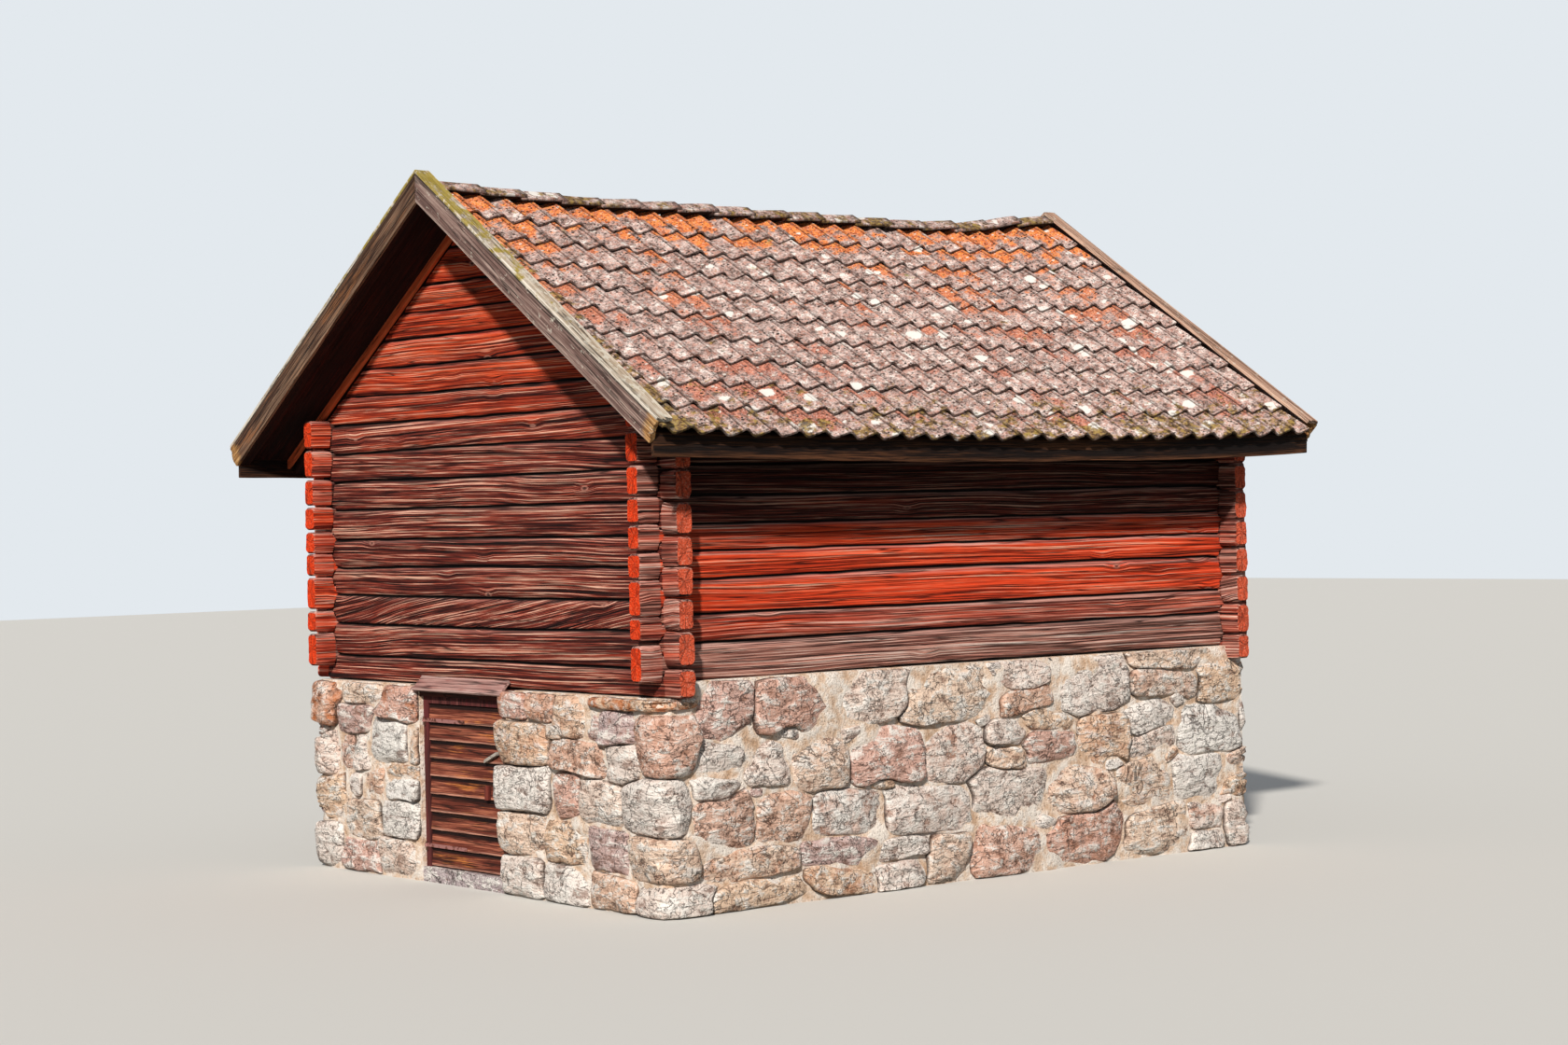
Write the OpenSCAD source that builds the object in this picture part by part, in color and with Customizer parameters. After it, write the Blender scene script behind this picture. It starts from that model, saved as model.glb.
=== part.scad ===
/* [Log walls] */
// Width across the gable, between the outer faces of the long walls
wall_w = 4072; // [3400:2:4800]
// Length along the ridge, between the outer faces of the gable walls
wall_l = 5140; // [4400:10:6600]
// Thickness of a hewn log
log_t = 120; // [90:1:160]
// Length of log that stands out past a corner
log_reach = 165; // [110:1:230]
// Number of logs in a long wall
side_logs = 9; // [6:1:11]
// Bevel along the outer edges of a log
log_bevel = 16; // [4:1:26]
// Slant from the notch out to the full log head
neck_slant = 28; // [10:1:45]
// Gap left between two log heads above each other
head_gap = 22; // [8:1:36]
// Bevel at the tip of a log head
tip_bevel = 14; // [4:1:26]

/* [Cellar] */
// Height of the fieldstone wall from the lowest ground to the sill
foundation_h = 1350; // [1000:10:1800]
// Thickness of the fieldstone wall
foundation_t = 450; // [350:5:600]
// Distance that the masonry stands out past the logs
foundation_proud = 40; // [30:1:110]
// Width of the raised stone course under the long walls
plinth_t = 250; // [200:1:300]
// Depth of a floor joist
joist_h = 120; // [90:1:180]
// Width of a floor joist
joist_w = 130; // [90:1:180]
// Number of floor joists
joist_n = 6; // [4:1:9]
// Thickness of the floor boards
floor_t = 35; // [22:1:50]

/* [Cellar door] */
// Width of the opening in the masonry
doorway_w = 1070; // [860:5:1200]
// Middle of the opening, from the middle of the gable
doorway_x = -205; // [-500:5:300]
// Height of the timber over the opening
lintel_h = 75; // [50:1:120]
// Bearing of that timber on the masonry at each side
lintel_bearing = 110; // [60:5:180]
// Height of the threshold stone
threshold_h = 100; // [60:1:160]
// Width of a door post
post_w = 60; // [45:1:90]
// Depth of a door post
post_d = 90; // [70:1:130]
// Height of the head piece between the posts
head_h = 50; // [35:1:80]
// Number of boards in the leaf
leaf_boards = 9; // [5:1:13]
// Thickness of a leaf board at its lower edge
board_foot = 30; // [24:1:40]
// Thickness of a leaf board at its upper edge
board_top = 18; // [12:1:22]
// Width of the two upright ledges behind the boards
ledge_w = 110; // [70:1:150]
// Thickness of those ledges
ledge_t = 25; // [18:1:35]
// Width of the drip board over the door
drip_w = 1114; // [900:2:1300]
// Distance that the drip board stands out from the logs
drip_reach = 95; // [60:1:150]
// Fall of the drip board over that distance
drip_fall = 100; // [40:1:160]
// Thickness of the drip board
drip_t = 24; // [16:1:34]

/* [Door hardware] */
// Length of a strap on the leaf
strap_l = 450; // [300:5:600]
// Width of a strap
strap_w = 24; // [18:1:34]
// Thickness of a strap
strap_t = 5; // [3:0.5:8]
// Diameter of a hinge pin
pin_d = 12; // [9:0.5:16]
// Distance from the axis of the pins to the opening side of the post
pin_inset = 38; // [26:1:44]
// Height of the wooden turn button
button_h = 95; // [70:1:130]
// Width of that button
button_w = 38; // [28:1:50]
// Thickness of that button
button_t = 26; // [18:1:34]
// Length of the split wedge at the free edge of the leaf
wedge_l = 150; // [100:5:190]

/* [Roof] */
// Slope of the roof in degrees
pitch = 33.5; // [26:0.5:42]
// Distance from the long wall to the foot of the tiles
eave_reach = 582; // [430:2:700]
// Distance that the bargeboards' tips stand out past the foot of the tiles
barge_over = 32; // [10:1:60]
// Distance from the front gable to the face of the bargeboards
front_verge = 445; // [330:5:560]
// Distance from the back gable to the face of the bargeboards
back_verge = 289; // [250:1:420]
// Depth of the rafters
rafter_h = 88; // [70:1:120]
// Width of the rafters
rafter_w = 80; // [60:1:110]
// Number of rafter pairs between the gables
rafter_pairs = 5; // [3:1:8]
// Thickness of the roof boards
deck_t = 23; // [18:1:32]
// Height of the eave board
eave_board_h = 160; // [120:1:200]
// Thickness of the eave board
eave_board_t = 30; // [22:1:40]
// Height of the bargeboards
barge_h = 155; // [120:1:200]
// Thickness of the bargeboards
barge_t = 28; // [20:1:40]
// Width of the cap board on a bargeboard
cap_w = 110; // [80:1:150]
// Thickness of the cap board
cap_t = 22; // [16:1:30]
// Width of the lath behind the bargeboard
verge_lath_w = 75; // [50:1:100]
// Face height of the red lath along the gable
trim_h = 55; // [40:1:75]
// Thickness of that lath
trim_t = 28; // [18:1:40]

/* [Tiles] */
// Width that one tile covers
tile_cover = 208; // [180:1:240]
// Number of tile courses on a slope
tile_courses = 10; // [7:1:12]
// Height of the roll of a tile above its pan
tile_wave = 45; // [30:1:60]
// Thickness of a tile
tile_t = 14; // [10:1:20]
// Length of a tile that lies under the course above
tile_lap = 60; // [40:1:90]
// Space between the bargeboard and the last tile at the back verge
tile_setback = 70; // [20:5:120]
// Length of ridge that one ridge tile covers
ridge_cover = 330; // [250:5:420]
// Width of one wing of a ridge tile down the slope
ridge_wing = 170; // [120:1:220]
// Thickness of a ridge tile
ridge_t = 15; // [10:1:20]

/* [Hidden] */

// Gap between pieces that lie against each other
seat = 0.3;
// Gap round the leaf of the door
door_gap = 8;
// Gap between the leaf and the threshold
door_foot_gap = 10;
// Gap between the leaf and the stop that is worked on the posts
stop_gap = 5;
// Width of that stop
stop_w = 18;
// Gap between a strap and the post that it passes
strap_gap = 1;
// Radial gap between a hinge pin and its eye, and the iron round the eye
pin_gap = 0.5;
eye_wall = 5;
// Distance of the door frame behind the face of the masonry
frame_setback = 30;
// Distance of the gable rafters behind the face of the gable logs
rafter_setback = 30;
// Gap between the cap boards and the highest edge of the tiles
cap_gap = 18;
// Height of the middle of the tiles' lower edge over the roof boards
tile_edge_rise = 38;
// Distance from the ridge to the upper end of the first course
tile_start = 20;
// Distance of the eave board behind the foot of the tiles
eave_setback = 95;
// Length of a ridge tile that lies over the next one
ridge_lap = 50;
// Space between the cap boards and the first and last ridge tile
ridge_end_gap = 8;
// Extra length of a cutting shape past the face that it cuts
over = 1;

// Heights of the gable logs and of the long wall logs, lowest first, then again
gable_heights = [186, 225, 205, 193, 196, 213, 191, 207, 201, 204, 180, 187, 183];
side_heights = [245, 158, 237, 171, 168, 172, 196, 206, 213, 198, 190];
// Height of the raised stone course, about half a log
plinth_h = 99;
// One tile across its width: places along it, and heights as a share of the wave
tile_outline = [[0, 0.9], [0.1, 1], [0.36, 0.12], [0.62, 0]];

half_w = wall_w / 2;
// The bargeboards' outer faces lie as far in front of the origin as behind it
roof_l = wall_l + front_verge + back_verge;
roof_front = -roof_l / 2;
roof_back = roof_l / 2;
wall_front = roof_front + front_verge;
wall_back = roof_back - back_verge;
wall_mid = (wall_front + wall_back) / 2;
head_end = half_w + log_reach;
masonry_x = half_w + foundation_proud;
masonry_front = wall_front - foundation_proud;
masonry_back = wall_back + foundation_proud;
cellar_front = masonry_front + foundation_t;
cellar_back = masonry_back - foundation_t;

function sum_to(list, n) = n <= 0 ? 0 : list[(n - 1) % len(list)] + sum_to(list, n - 1);
function gable_seam(n) = foundation_h + sum_to(gable_heights, n);
function side_seam(n) = foundation_h + plinth_h + sum_to(side_heights, n);
// Crossing logs share the height that they have in common half and half
function gable_low(i) = i == 0 ? gable_seam(0) : (gable_seam(i) + side_seam(i)) / 2;
function gable_high(i) = (side_seam(i) + gable_seam(i + 1)) / 2;
function side_low(i) = gable_high(i);
function side_high(i) = gable_low(i + 1);

wall_top = side_seam(side_logs);
rise = tan(pitch);
eave_x = half_w + eave_reach;
tile_foot = (eave_x - tile_edge_rise * sin(pitch)) / cos(pitch);
gauge = (tile_foot - tile_lap - tile_start) / tile_courses;
tile_tilt = atan((tile_t + seat) / gauge);
// Height that the tiled layer takes over the roof boards
tile_stack = seat + tile_wave + tile_t + (gauge + tile_lap) * tan(tile_tilt);

// Depths below the top of the cap boards, square to the slope
deck_top = cap_t + cap_gap + tile_stack;
deck_bottom = deck_top + deck_t;
rafter_bottom = deck_bottom + rafter_h;
barge_bottom = cap_t + barge_h;
trim_bottom = deck_bottom + trim_h;

// Highest line of the roof, where the top planes of both slopes meet
apex_z = wall_top + seat + (half_w - log_t / 2) * rise + rafter_bottom / cos(pitch);
deck_apex_z = apex_z - deck_top / cos(pitch);
eave_board_x = eave_x - eave_setback;
barge_foot = (eave_x + barge_over) / cos(pitch);

// A point at a depth under the roof's top plane, over a plumb line or along the slope
function at_x(x, depth) = [x, apex_z - depth / cos(pitch) - x * rise];
function at_u(u, depth) = [
    u * cos(pitch) - depth * sin(pitch),
    apex_z - u * sin(pitch) - depth * cos(pitch)
];

// Gable logs in all, up to the tip of the gable
gable_tip = apex_z - rafter_bottom / cos(pitch);
smallest_log = 40;
function count_logs(n) = gable_tip - gable_seam(n) < smallest_log ? n : count_logs(n + 1);
gable_logs = count_logs(side_logs);

door_left = doorway_x - doorway_w / 2;
door_right = doorway_x + doorway_w / 2;
lintel_bottom = foundation_h - lintel_h;
frame_top = lintel_bottom - seat;
frame_front = masonry_front + frame_setback;
leaf_left = door_left + seat + post_w + door_gap;
leaf_right = door_right - seat - post_w - door_gap;
leaf_bottom = threshold_h + door_foot_gap;
leaf_top = frame_top - head_h - door_gap;
board_h = (leaf_top - leaf_bottom) / leaf_boards;
leaf_back = frame_front + board_foot;
pin_r = pin_d / 2;
eye_r = pin_r + pin_gap + eye_wall;
hinge_x = door_left + seat + post_w - pin_inset;
hinge_y = frame_front - strap_gap - eye_r;
// Boards that carry the straps, counted from the foot of the leaf
strap_boards = [1, leaf_boards - 1];
strap_lift = 3;

// Extrudes an outline drawn in the plane of a gable from y0 back to y1
module along_y(y0, y1) {
    translate([0, y1, 0]) rotate([90, 0, 0]) linear_extrude(y1 - y0) children();
}

// Extrudes an outline drawn in the plane of a long wall from x0 to x1
module along_x(x0, x1) {
    translate([x0, 0, 0]) rotate([90, 0, 90]) linear_extrude(x1 - x0) children();
}

module both_sides() {
    children();
    mirror([1, 0, 0]) children();
}

module block(low, high) {
    translate(low) cube(high - low);
}

// Section of a hewn log, upright, with its outer edges bevelled
module log_section(bottom, top) {
    half = log_t / 2;
    low = bottom + seat / 2;
    high = top - seat / 2;
    polygon([
        [-half, low + log_bevel], [-half + log_bevel, low],
        [half - log_bevel, low], [half, low + log_bevel],
        [half, high - log_bevel], [half - log_bevel, high],
        [-half + log_bevel, high], [-half, high - log_bevel]
    ]);
}

// What is cut from one edge of a log over its crossing and along its head.
// side is 1 at the upper edge of the log and -1 at the lower edge.
module head_cut(end, edge, notch, side) {
    inner = end - log_reach - log_t - seat;
    outer = end - log_reach + seat;
    head_edge = edge - side * head_gap / 2;
    level = notch - side * seat / 2;
    along_y(-log_t, log_t) polygon([
        [inner, edge + side * over], [inner, level], [outer, level],
        [outer + neck_slant, head_edge], [end - tip_bevel, head_edge],
        [end + over, head_edge - side * (tip_bevel + over)],
        [end + over, edge + side * over]
    ]);
}

// A log from -end to end that crosses the next wall near both of its ends.
// low and high are the levels between which it stays whole in the crossing.
module corner_log(end, bottom, top, low, high) {
    difference() {
        along_x(-end, end) log_section(bottom, top);
        both_sides() {
            head_cut(end, top, high, 1);
            if (low > bottom) head_cut(end, bottom, low, -1);
        }
    }
}

// The gable ends at this outline, under the rafters
module below_rafters() {
    foot = at_x(head_end + over, rafter_bottom);
    along_y(-log_t, log_t) polygon([
        [-foot[0], foundation_h - over], [foot[0], foundation_h - over],
        foot, [0, gable_tip], [-foot[0], foot[1]]
    ]);
}

// The gable logs that cross the long walls
module gable_wall(y) {
    last = side_logs - 1;
    translate([0, y, 0]) {
        for (i = [0:last - 1])
            corner_log(head_end, gable_seam(i), gable_seam(i + 1), gable_low(i), gable_high(i));
        intersection() {
            corner_log(head_end, gable_seam(last), gable_seam(last + 1),
                gable_low(last), gable_high(last));
            below_rafters();
        }
    }
}

// The logs above them, cut off along both slopes.
// The lowest one sits on the top logs of the long walls.
module gable_triangle(y) {
    translate([0, y, 0]) intersection() {
        below_rafters();
        union() {
            difference() {
                along_x(-head_end, head_end)
                    log_section(gable_seam(side_logs), gable_seam(side_logs + 1));
                both_sides() block(
                    [half_w - log_t - seat, -log_t, foundation_h],
                    [head_end + over, log_t, gable_low(side_logs) + seat / 2]);
            }
            for (i = [side_logs + 1:gable_logs - 1])
                along_x(-head_end, head_end) log_section(gable_seam(i), gable_seam(i + 1));
        }
    }
}

module side_wall(x) {
    for (i = [0:side_logs - 1])
        translate([x, wall_mid, 0]) rotate([0, 0, 90])
            corner_log(wall_l / 2 + log_reach, side_seam(i), side_seam(i + 1),
                side_low(i), side_high(i));
}

module front_wall_logs() { color("#6e2420") gable_wall(wall_front + log_t / 2); }
module back_wall_logs() { color("#6e2420") gable_wall(wall_back - log_t / 2); }
module left_wall_logs() { color("#8a2a20") side_wall(-half_w + log_t / 2); }
module right_wall_logs() { color("#9a2c20") side_wall(half_w - log_t / 2); }
module front_gable_logs() { color("#8e2b20") gable_triangle(wall_front + log_t / 2); }
module back_gable_logs() { color("#8e2b20") gable_triangle(wall_back - log_t / 2); }

// One half of the front masonry, with a pocket for the timber over the door
module front_masonry(x0, x1) {
    difference() {
        block([x0, masonry_front, 0], [x1, cellar_front, foundation_h - seat / 2]);
        block([door_left - lintel_bearing - seat, masonry_front - over, lintel_bottom - seat],
            [door_right + lintel_bearing + seat, cellar_front + over, foundation_h]);
    }
}

module foundation_front_left() { color("#b8aaa0") front_masonry(-masonry_x, door_left); }
module foundation_front_right() { color("#b8aaa0") front_masonry(door_right, masonry_x); }

module foundation_back() {
    color("#b8aaa0")
        block([-masonry_x, cellar_back, 0], [masonry_x, masonry_back, foundation_h - seat / 2]);
}

// Masonry under a long wall, and the raised course that its lowest log lies on
module side_masonry() {
    block([masonry_x - foundation_t, cellar_front + seat, 0],
        [masonry_x, cellar_back - seat, foundation_h - seat / 2]);
    block([masonry_x - plinth_t, wall_front + log_t + seat, foundation_h + seat / 2],
        [masonry_x, wall_back - log_t - seat, foundation_h + plinth_h - seat / 2]);
}

module foundation_right() { color("#b3a59c") side_masonry(); }
module foundation_left() { color("#b3a59c") mirror([1, 0, 0]) side_masonry(); }

module door_lintel() {
    color("#4b2a24")
        block([door_left - lintel_bearing, masonry_front, lintel_bottom],
            [door_right + lintel_bearing, cellar_front, foundation_h - seat / 2]);
}

module threshold_stone() {
    color("#9c938c")
        block([door_left + seat, masonry_front, 0],
            [door_right - seat, cellar_front, threshold_h]);
}

// Two posts with a stop behind the leaf, and a head piece between them
module door_frame() {
    back = frame_front + post_d;
    stop = leaf_back + stop_gap;
    foot = threshold_h + seat;
    color("#6f2a26") {
        for (side = [0, 1])
            translate([doorway_x, 0, foot]) mirror([side, 0, 0])
                linear_extrude(frame_top - foot) polygon([
                    [-doorway_w / 2 + seat, frame_front],
                    [-doorway_w / 2 + seat + post_w, frame_front],
                    [-doorway_w / 2 + seat + post_w, stop],
                    [-doorway_w / 2 + seat + post_w + stop_w, stop],
                    [-doorway_w / 2 + seat + post_w + stop_w, back],
                    [-doorway_w / 2 + seat, back]
                ]);
        difference() {
            block([door_left + post_w + 2 * seat, frame_front, frame_top - head_h],
                [door_right - post_w - 2 * seat, back, frame_top]);
            for (x = [door_left + post_w, door_right - post_w - stop_w - 2 * seat])
                block([x, stop - seat, frame_top - head_h - over],
                    [x + stop_w + 2 * seat, back + over, frame_top + over]);
        }
    }
}

// Level of the middle of a strap
function strap_z(n) = leaf_bottom + strap_boards[n] * board_h + strap_lift + strap_w / 2;

// Pins on brackets that are driven into the left post
module door_hinge_pins() {
    color("#3a2c28") for (n = [0, 1]) {
        foot = strap_z(n) - strap_w / 2 - seat;
        translate([hinge_x, hinge_y, foot - strap_w])
            cylinder(r = pin_r, h = 2 * strap_w + pin_d, $fn = 32);
        block([hinge_x - pin_r, hinge_y, foot - strap_w],
            [hinge_x + pin_r, frame_front - seat, foot - seat]);
    }
}

// A sloping board that throws the rain off over the door
module drip_board() {
    drop = drip_t * sqrt(1 + pow(drip_fall / drip_reach, 2));
    back = foundation_h + foundation_proud * drip_fall / drip_reach + seat;
    color("#7d6a60")
        along_x(doorway_x - drip_w / 2, doorway_x + drip_w / 2) polygon([
            [wall_front - seat, back], [wall_front - seat, back + drop],
            [wall_front - drip_reach, back + drop - drip_fall],
            [wall_front - drip_reach, back - drip_fall]
        ]);
}

// Lapped boards, each thicker at its foot than at its top
module door_boards() {
    color("#4a2320") for (i = [0:leaf_boards - 1]) {
        foot = leaf_bottom + i * board_h + seat / 2;
        head = foot + board_h - seat;
        along_x(leaf_left, leaf_right) polygon([
            [frame_front, foot], [leaf_back, foot],
            [leaf_back, head], [leaf_back - board_top, head]
        ]);
    }
}

// Two upright ledges that the boards are nailed to
module door_ledges() {
    clear = stop_w + door_gap;
    color("#4a2320") for (x = [leaf_left + clear, leaf_right - clear - ledge_w])
        block([x, leaf_back + seat, leaf_bottom + door_gap],
            [x + ledge_w, leaf_back + seat + ledge_t, leaf_top - door_gap]);
}

// Straps on the face of the leaf, each with an eye round its pin
module door_straps() {
    color("#5a3a36") for (n = [0, 1]) translate([hinge_x, hinge_y, strap_z(n) - strap_w / 2])
        difference() {
            union() {
                cylinder(r = eye_r, h = strap_w, $fn = 48);
                block([0, eye_r - strap_t, 0],
                    [leaf_left - hinge_x + strap_l, eye_r, strap_w]);
                // The strap lies down on the boards past the post
                block([leaf_left - hinge_x, eye_r - strap_t, 0],
                    [leaf_left - hinge_x + strap_l, eye_r + strap_gap - seat, strap_w]);
            }
            translate([0, 0, -over])
                cylinder(r = pin_r + pin_gap, h = strap_w + 2 * over, $fn = 48);
        }
}

// Distance of the button and the wedge from the free edge of the leaf
button_from_edge = 215;
// Level of the foot of the button
button_z = leaf_bottom + 4 * board_h + strap_lift;
// Wooden button near the free edge of the leaf
module door_button() {
    x = leaf_right - button_from_edge;
    color("#7a3028")
        block([x, frame_front - seat - button_t, button_z],
            [x + button_w, frame_front - seat, button_z + button_h]);
}

// Rise of the wedge over its length, and its height
wedge_rise = 60;
wedge_thick = 22;
// Split piece of wood under the next seam, at the free edge
module door_wedge() {
    x = leaf_right - button_from_edge;
    z = leaf_bottom + 6 * board_h + strap_lift;
    color("#a89a8c") along_y(frame_front - seat - button_t, frame_front - seat) polygon([
        [x, z], [x + wedge_l, z + wedge_rise],
        [x + wedge_l, z + wedge_rise + wedge_thick], [x, z + wedge_thick]
    ]);
}

// Joists on the side masonry, between the raised courses
module floor_joists() {
    reach = masonry_x - plinth_t - seat;
    first = cellar_front + joist_w;
    last = cellar_back - joist_w * 2;
    color("#6b4a3a") for (i = [0:joist_n - 1]) {
        y = first + (last - first) * i / (joist_n - 1);
        block([-reach, y, foundation_h + seat / 2], [reach, y + joist_w, foundation_h + joist_h]);
    }
}

module floor_boards() {
    reach = half_w - log_t - seat;
    z = foundation_h + joist_h + seat;
    color("#7a5a46")
        block([-reach, wall_front + log_t + seat, z], [reach, wall_back - log_t - seat, z + floor_t]);
}

// Outline of a layer of the right slope, plumb at the ridge and at x1
module layer(x1, top, bottom) {
    polygon([at_x(seat / 2, top), at_x(x1, top), at_x(x1, bottom), at_x(seat / 2, bottom)]);
}

// Outline of a board along the slope, plumb at the ridge and square at its foot
module sloped_board(u1, top, bottom) {
    polygon([at_x(seat / 2, top), at_u(u1, top), at_u(u1, bottom), at_x(seat / 2, bottom)]);
}

// A pair of rafters, cut to sit on the top logs of the long walls
module rafter_pair(y) {
    both_sides() along_y(y, y + rafter_w) difference() {
        layer(eave_board_x - seat, deck_bottom + seat, rafter_bottom - seat);
        translate([half_w - log_t, wall_top - rafter_bottom])
            square([log_t + seat, rafter_bottom + seat]);
    }
}

module inner_rafters() {
    first = wall_front + rafter_setback;
    last = wall_back - rafter_setback - rafter_w;
    color("#6b4a3a") for (i = [1:rafter_pairs])
        rafter_pair(first + (last - first) * i / (rafter_pairs + 1));
}

module front_rafters() { color("#5a2a24") rafter_pair(wall_front + rafter_setback); }
module back_rafters() { color("#5a2a24") rafter_pair(wall_back - rafter_setback - rafter_w); }

module gable_trim(y) {
    both_sides() along_y(y, y + trim_t)
        layer(eave_board_x - seat, deck_bottom + seat, trim_bottom);
}

module front_trim() { color("#a8321f") gable_trim(wall_front - trim_t - seat); }
module back_trim() { color("#a8321f") gable_trim(wall_back + seat); }

module verge_laths(y) {
    both_sides() along_y(y, y + verge_lath_w)
        layer(eave_board_x - seat, deck_bottom + seat, barge_bottom);
}

module front_verge_laths() { color("#5b2b26") verge_laths(roof_front + barge_t + seat); }
module back_verge_laths() {
    color("#5b2b26") verge_laths(roof_back - barge_t - seat - verge_lath_w);
}

module roof_boards() {
    along_y(roof_front + barge_t + seat, roof_back - barge_t - seat)
        layer(eave_board_x - seat, deck_top, deck_bottom);
}

module roof_boards_right() { color("#6a3a2e") roof_boards(); }
module roof_boards_left() { color("#6a3a2e") mirror([1, 0, 0]) roof_boards(); }

// Board that closes the ends of the rafters and roof boards
module eave_board() {
    x1 = eave_board_x + eave_board_t;
    bottom = at_x(eave_board_x, deck_top)[1] - eave_board_h;
    along_y(roof_front + barge_t + seat, roof_back - barge_t - seat) polygon([
        at_x(eave_board_x, deck_top), at_x(x1, deck_top), [x1, bottom], [eave_board_x, bottom]
    ]);
}

module eave_board_right() { color("#6e5a50") eave_board(); }
module eave_board_left() { color("#6e5a50") mirror([1, 0, 0]) eave_board(); }

module bargeboards(y) {
    both_sides() along_y(y, y + barge_t) sloped_board(barge_foot, cap_t + seat, barge_bottom);
}

module front_bargeboards() { color("#8d7c70") bargeboards(roof_front); }
module back_bargeboards() { color("#8d7c70") bargeboards(roof_back - barge_t); }

module barge_caps(y) {
    both_sides() along_y(y, y + cap_w) sloped_board(barge_foot, 0, cap_t);
}

module front_barge_caps() { color("#a59a8c") barge_caps(roof_front); }
module back_barge_caps() { color("#a59a8c") barge_caps(roof_back - cap_w); }

// Places its children with X down the right slope and Z square to it, on the boards
module on_slope() {
    translate([0, 0, deck_apex_z]) rotate([0, pitch, 0]) children();
}

tiles_front = roof_front + barge_t + seat;
tiles_back = roof_back - barge_t - tile_setback;
tile_columns = round((tiles_back - tiles_front) / tile_cover);
tile_w = (tiles_back - tiles_front) / tile_columns;

// Upper line of one course across all its tiles
tile_line = [
    for (column = [0:tile_columns - 1]) for (point = tile_outline)
        [(column + point[0]) * tile_w, tile_t + point[1] * tile_wave],
    [tile_columns * tile_w, tile_t + tile_outline[0][1] * tile_wave]
];
function lowered(line) = [
    for (i = [len(line) - 1:-1:0]) [line[i][0], line[i][1] - tile_t]
];

// Courses of pantiles, each with its foot on the heads of the course below
module tiled_slope() {
    on_slope() for (i = [0:tile_courses - 1])
        translate([tile_start + i * gauge, tiles_front, seat]) rotate([0, -tile_tilt, 0])
            along_x(0, gauge + tile_lap) polygon(concat(tile_line, lowered(tile_line)));
}

module tiles_right() { color("#9a7260") tiled_slope(); }
module tiles_left() { color("#9a7260") mirror([1, 0, 0]) tiled_slope(); }

// Ridge tiles in a row, each with its back end over the next one
module ridge_tiles() {
    first = roof_front + cap_w + ridge_end_gap;
    last = roof_back - cap_w - ridge_end_gap;
    count = round((last - first - ridge_lap) / ridge_cover);
    cover = (last - first - ridge_lap) / count;
    tilt = atan((ridge_t + seat) / cos(pitch) / cover);
    wing_foot = ridge_wing * tan(tile_tilt);
    bottom = deck_top - 2 * seat - tile_wave - tile_t - wing_foot;
    top = bottom - ridge_t;
    low = at_x(0, bottom);
    color("#8a8078") for (i = [0:count - 1])
        translate([0, first + i * cover, low[1]]) rotate([tilt, 0, 0]) translate([0, 0, -low[1]])
            along_y(0, cover + ridge_lap) polygon([
                at_x(0, top), at_u(ridge_wing, top), at_u(ridge_wing, bottom), low,
                [-at_u(ridge_wing, bottom)[0], at_u(ridge_wing, bottom)[1]],
                [-at_u(ridge_wing, top)[0], at_u(ridge_wing, top)[1]]
            ]);
}

foundation_front_left();
foundation_front_right();
foundation_back();
foundation_left();
foundation_right();
door_lintel();
threshold_stone();
door_frame();
door_hinge_pins();
drip_board();
door_boards();
door_ledges();
door_straps();
door_button();
door_wedge();
floor_joists();
floor_boards();
front_wall_logs();
back_wall_logs();
left_wall_logs();
right_wall_logs();
front_gable_logs();
back_gable_logs();
inner_rafters();
front_rafters();
back_rafters();
front_trim();
back_trim();
front_verge_laths();
back_verge_laths();
roof_boards_left();
roof_boards_right();
eave_board_left();
eave_board_right();
front_bargeboards();
back_bargeboards();
front_barge_caps();
back_barge_caps();
tiles_left();
tiles_right();
ridge_tiles();
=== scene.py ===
# %% [markdown]
# # A log storehouse over a fieldstone cellar
# A small Nordic farm store: a body of hewn logs, notched together at the corners, stands
# on a cellar of fieldstones and lime mortar, and a pantiled roof reaches far out over it.
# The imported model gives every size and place. This script dresses it for the camera:
# each log, stone, tile and board gets a surface of its own, and each finish is built
# from nodes.

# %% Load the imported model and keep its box
import math
import bpy
import numpy as np
from mathutils import Matrix, Vector


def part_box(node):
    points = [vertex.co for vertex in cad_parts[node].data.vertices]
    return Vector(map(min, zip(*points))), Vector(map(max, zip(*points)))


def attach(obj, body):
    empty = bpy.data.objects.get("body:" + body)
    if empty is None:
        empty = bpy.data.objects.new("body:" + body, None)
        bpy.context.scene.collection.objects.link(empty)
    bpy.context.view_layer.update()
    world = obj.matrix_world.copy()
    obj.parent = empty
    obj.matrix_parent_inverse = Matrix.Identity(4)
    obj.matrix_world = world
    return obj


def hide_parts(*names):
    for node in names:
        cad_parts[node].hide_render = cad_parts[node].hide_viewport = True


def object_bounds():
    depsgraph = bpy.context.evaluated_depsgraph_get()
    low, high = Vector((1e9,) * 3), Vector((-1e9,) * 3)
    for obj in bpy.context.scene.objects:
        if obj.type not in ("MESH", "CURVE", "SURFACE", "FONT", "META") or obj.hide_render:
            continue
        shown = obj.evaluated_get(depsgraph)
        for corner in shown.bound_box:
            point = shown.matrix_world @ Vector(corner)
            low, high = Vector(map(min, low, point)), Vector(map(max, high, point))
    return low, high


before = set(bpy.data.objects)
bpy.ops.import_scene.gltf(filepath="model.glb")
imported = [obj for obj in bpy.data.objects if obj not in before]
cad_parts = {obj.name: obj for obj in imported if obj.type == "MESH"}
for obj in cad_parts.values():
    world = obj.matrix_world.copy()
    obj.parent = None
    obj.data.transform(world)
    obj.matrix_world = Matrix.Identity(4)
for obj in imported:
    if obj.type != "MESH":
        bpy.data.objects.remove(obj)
cad_low, cad_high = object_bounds()
BUILDING = "building"
DOOR = "cellar_door"
print("building box", [round(v, 3) for v in (*cad_low, *cad_high)])

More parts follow.
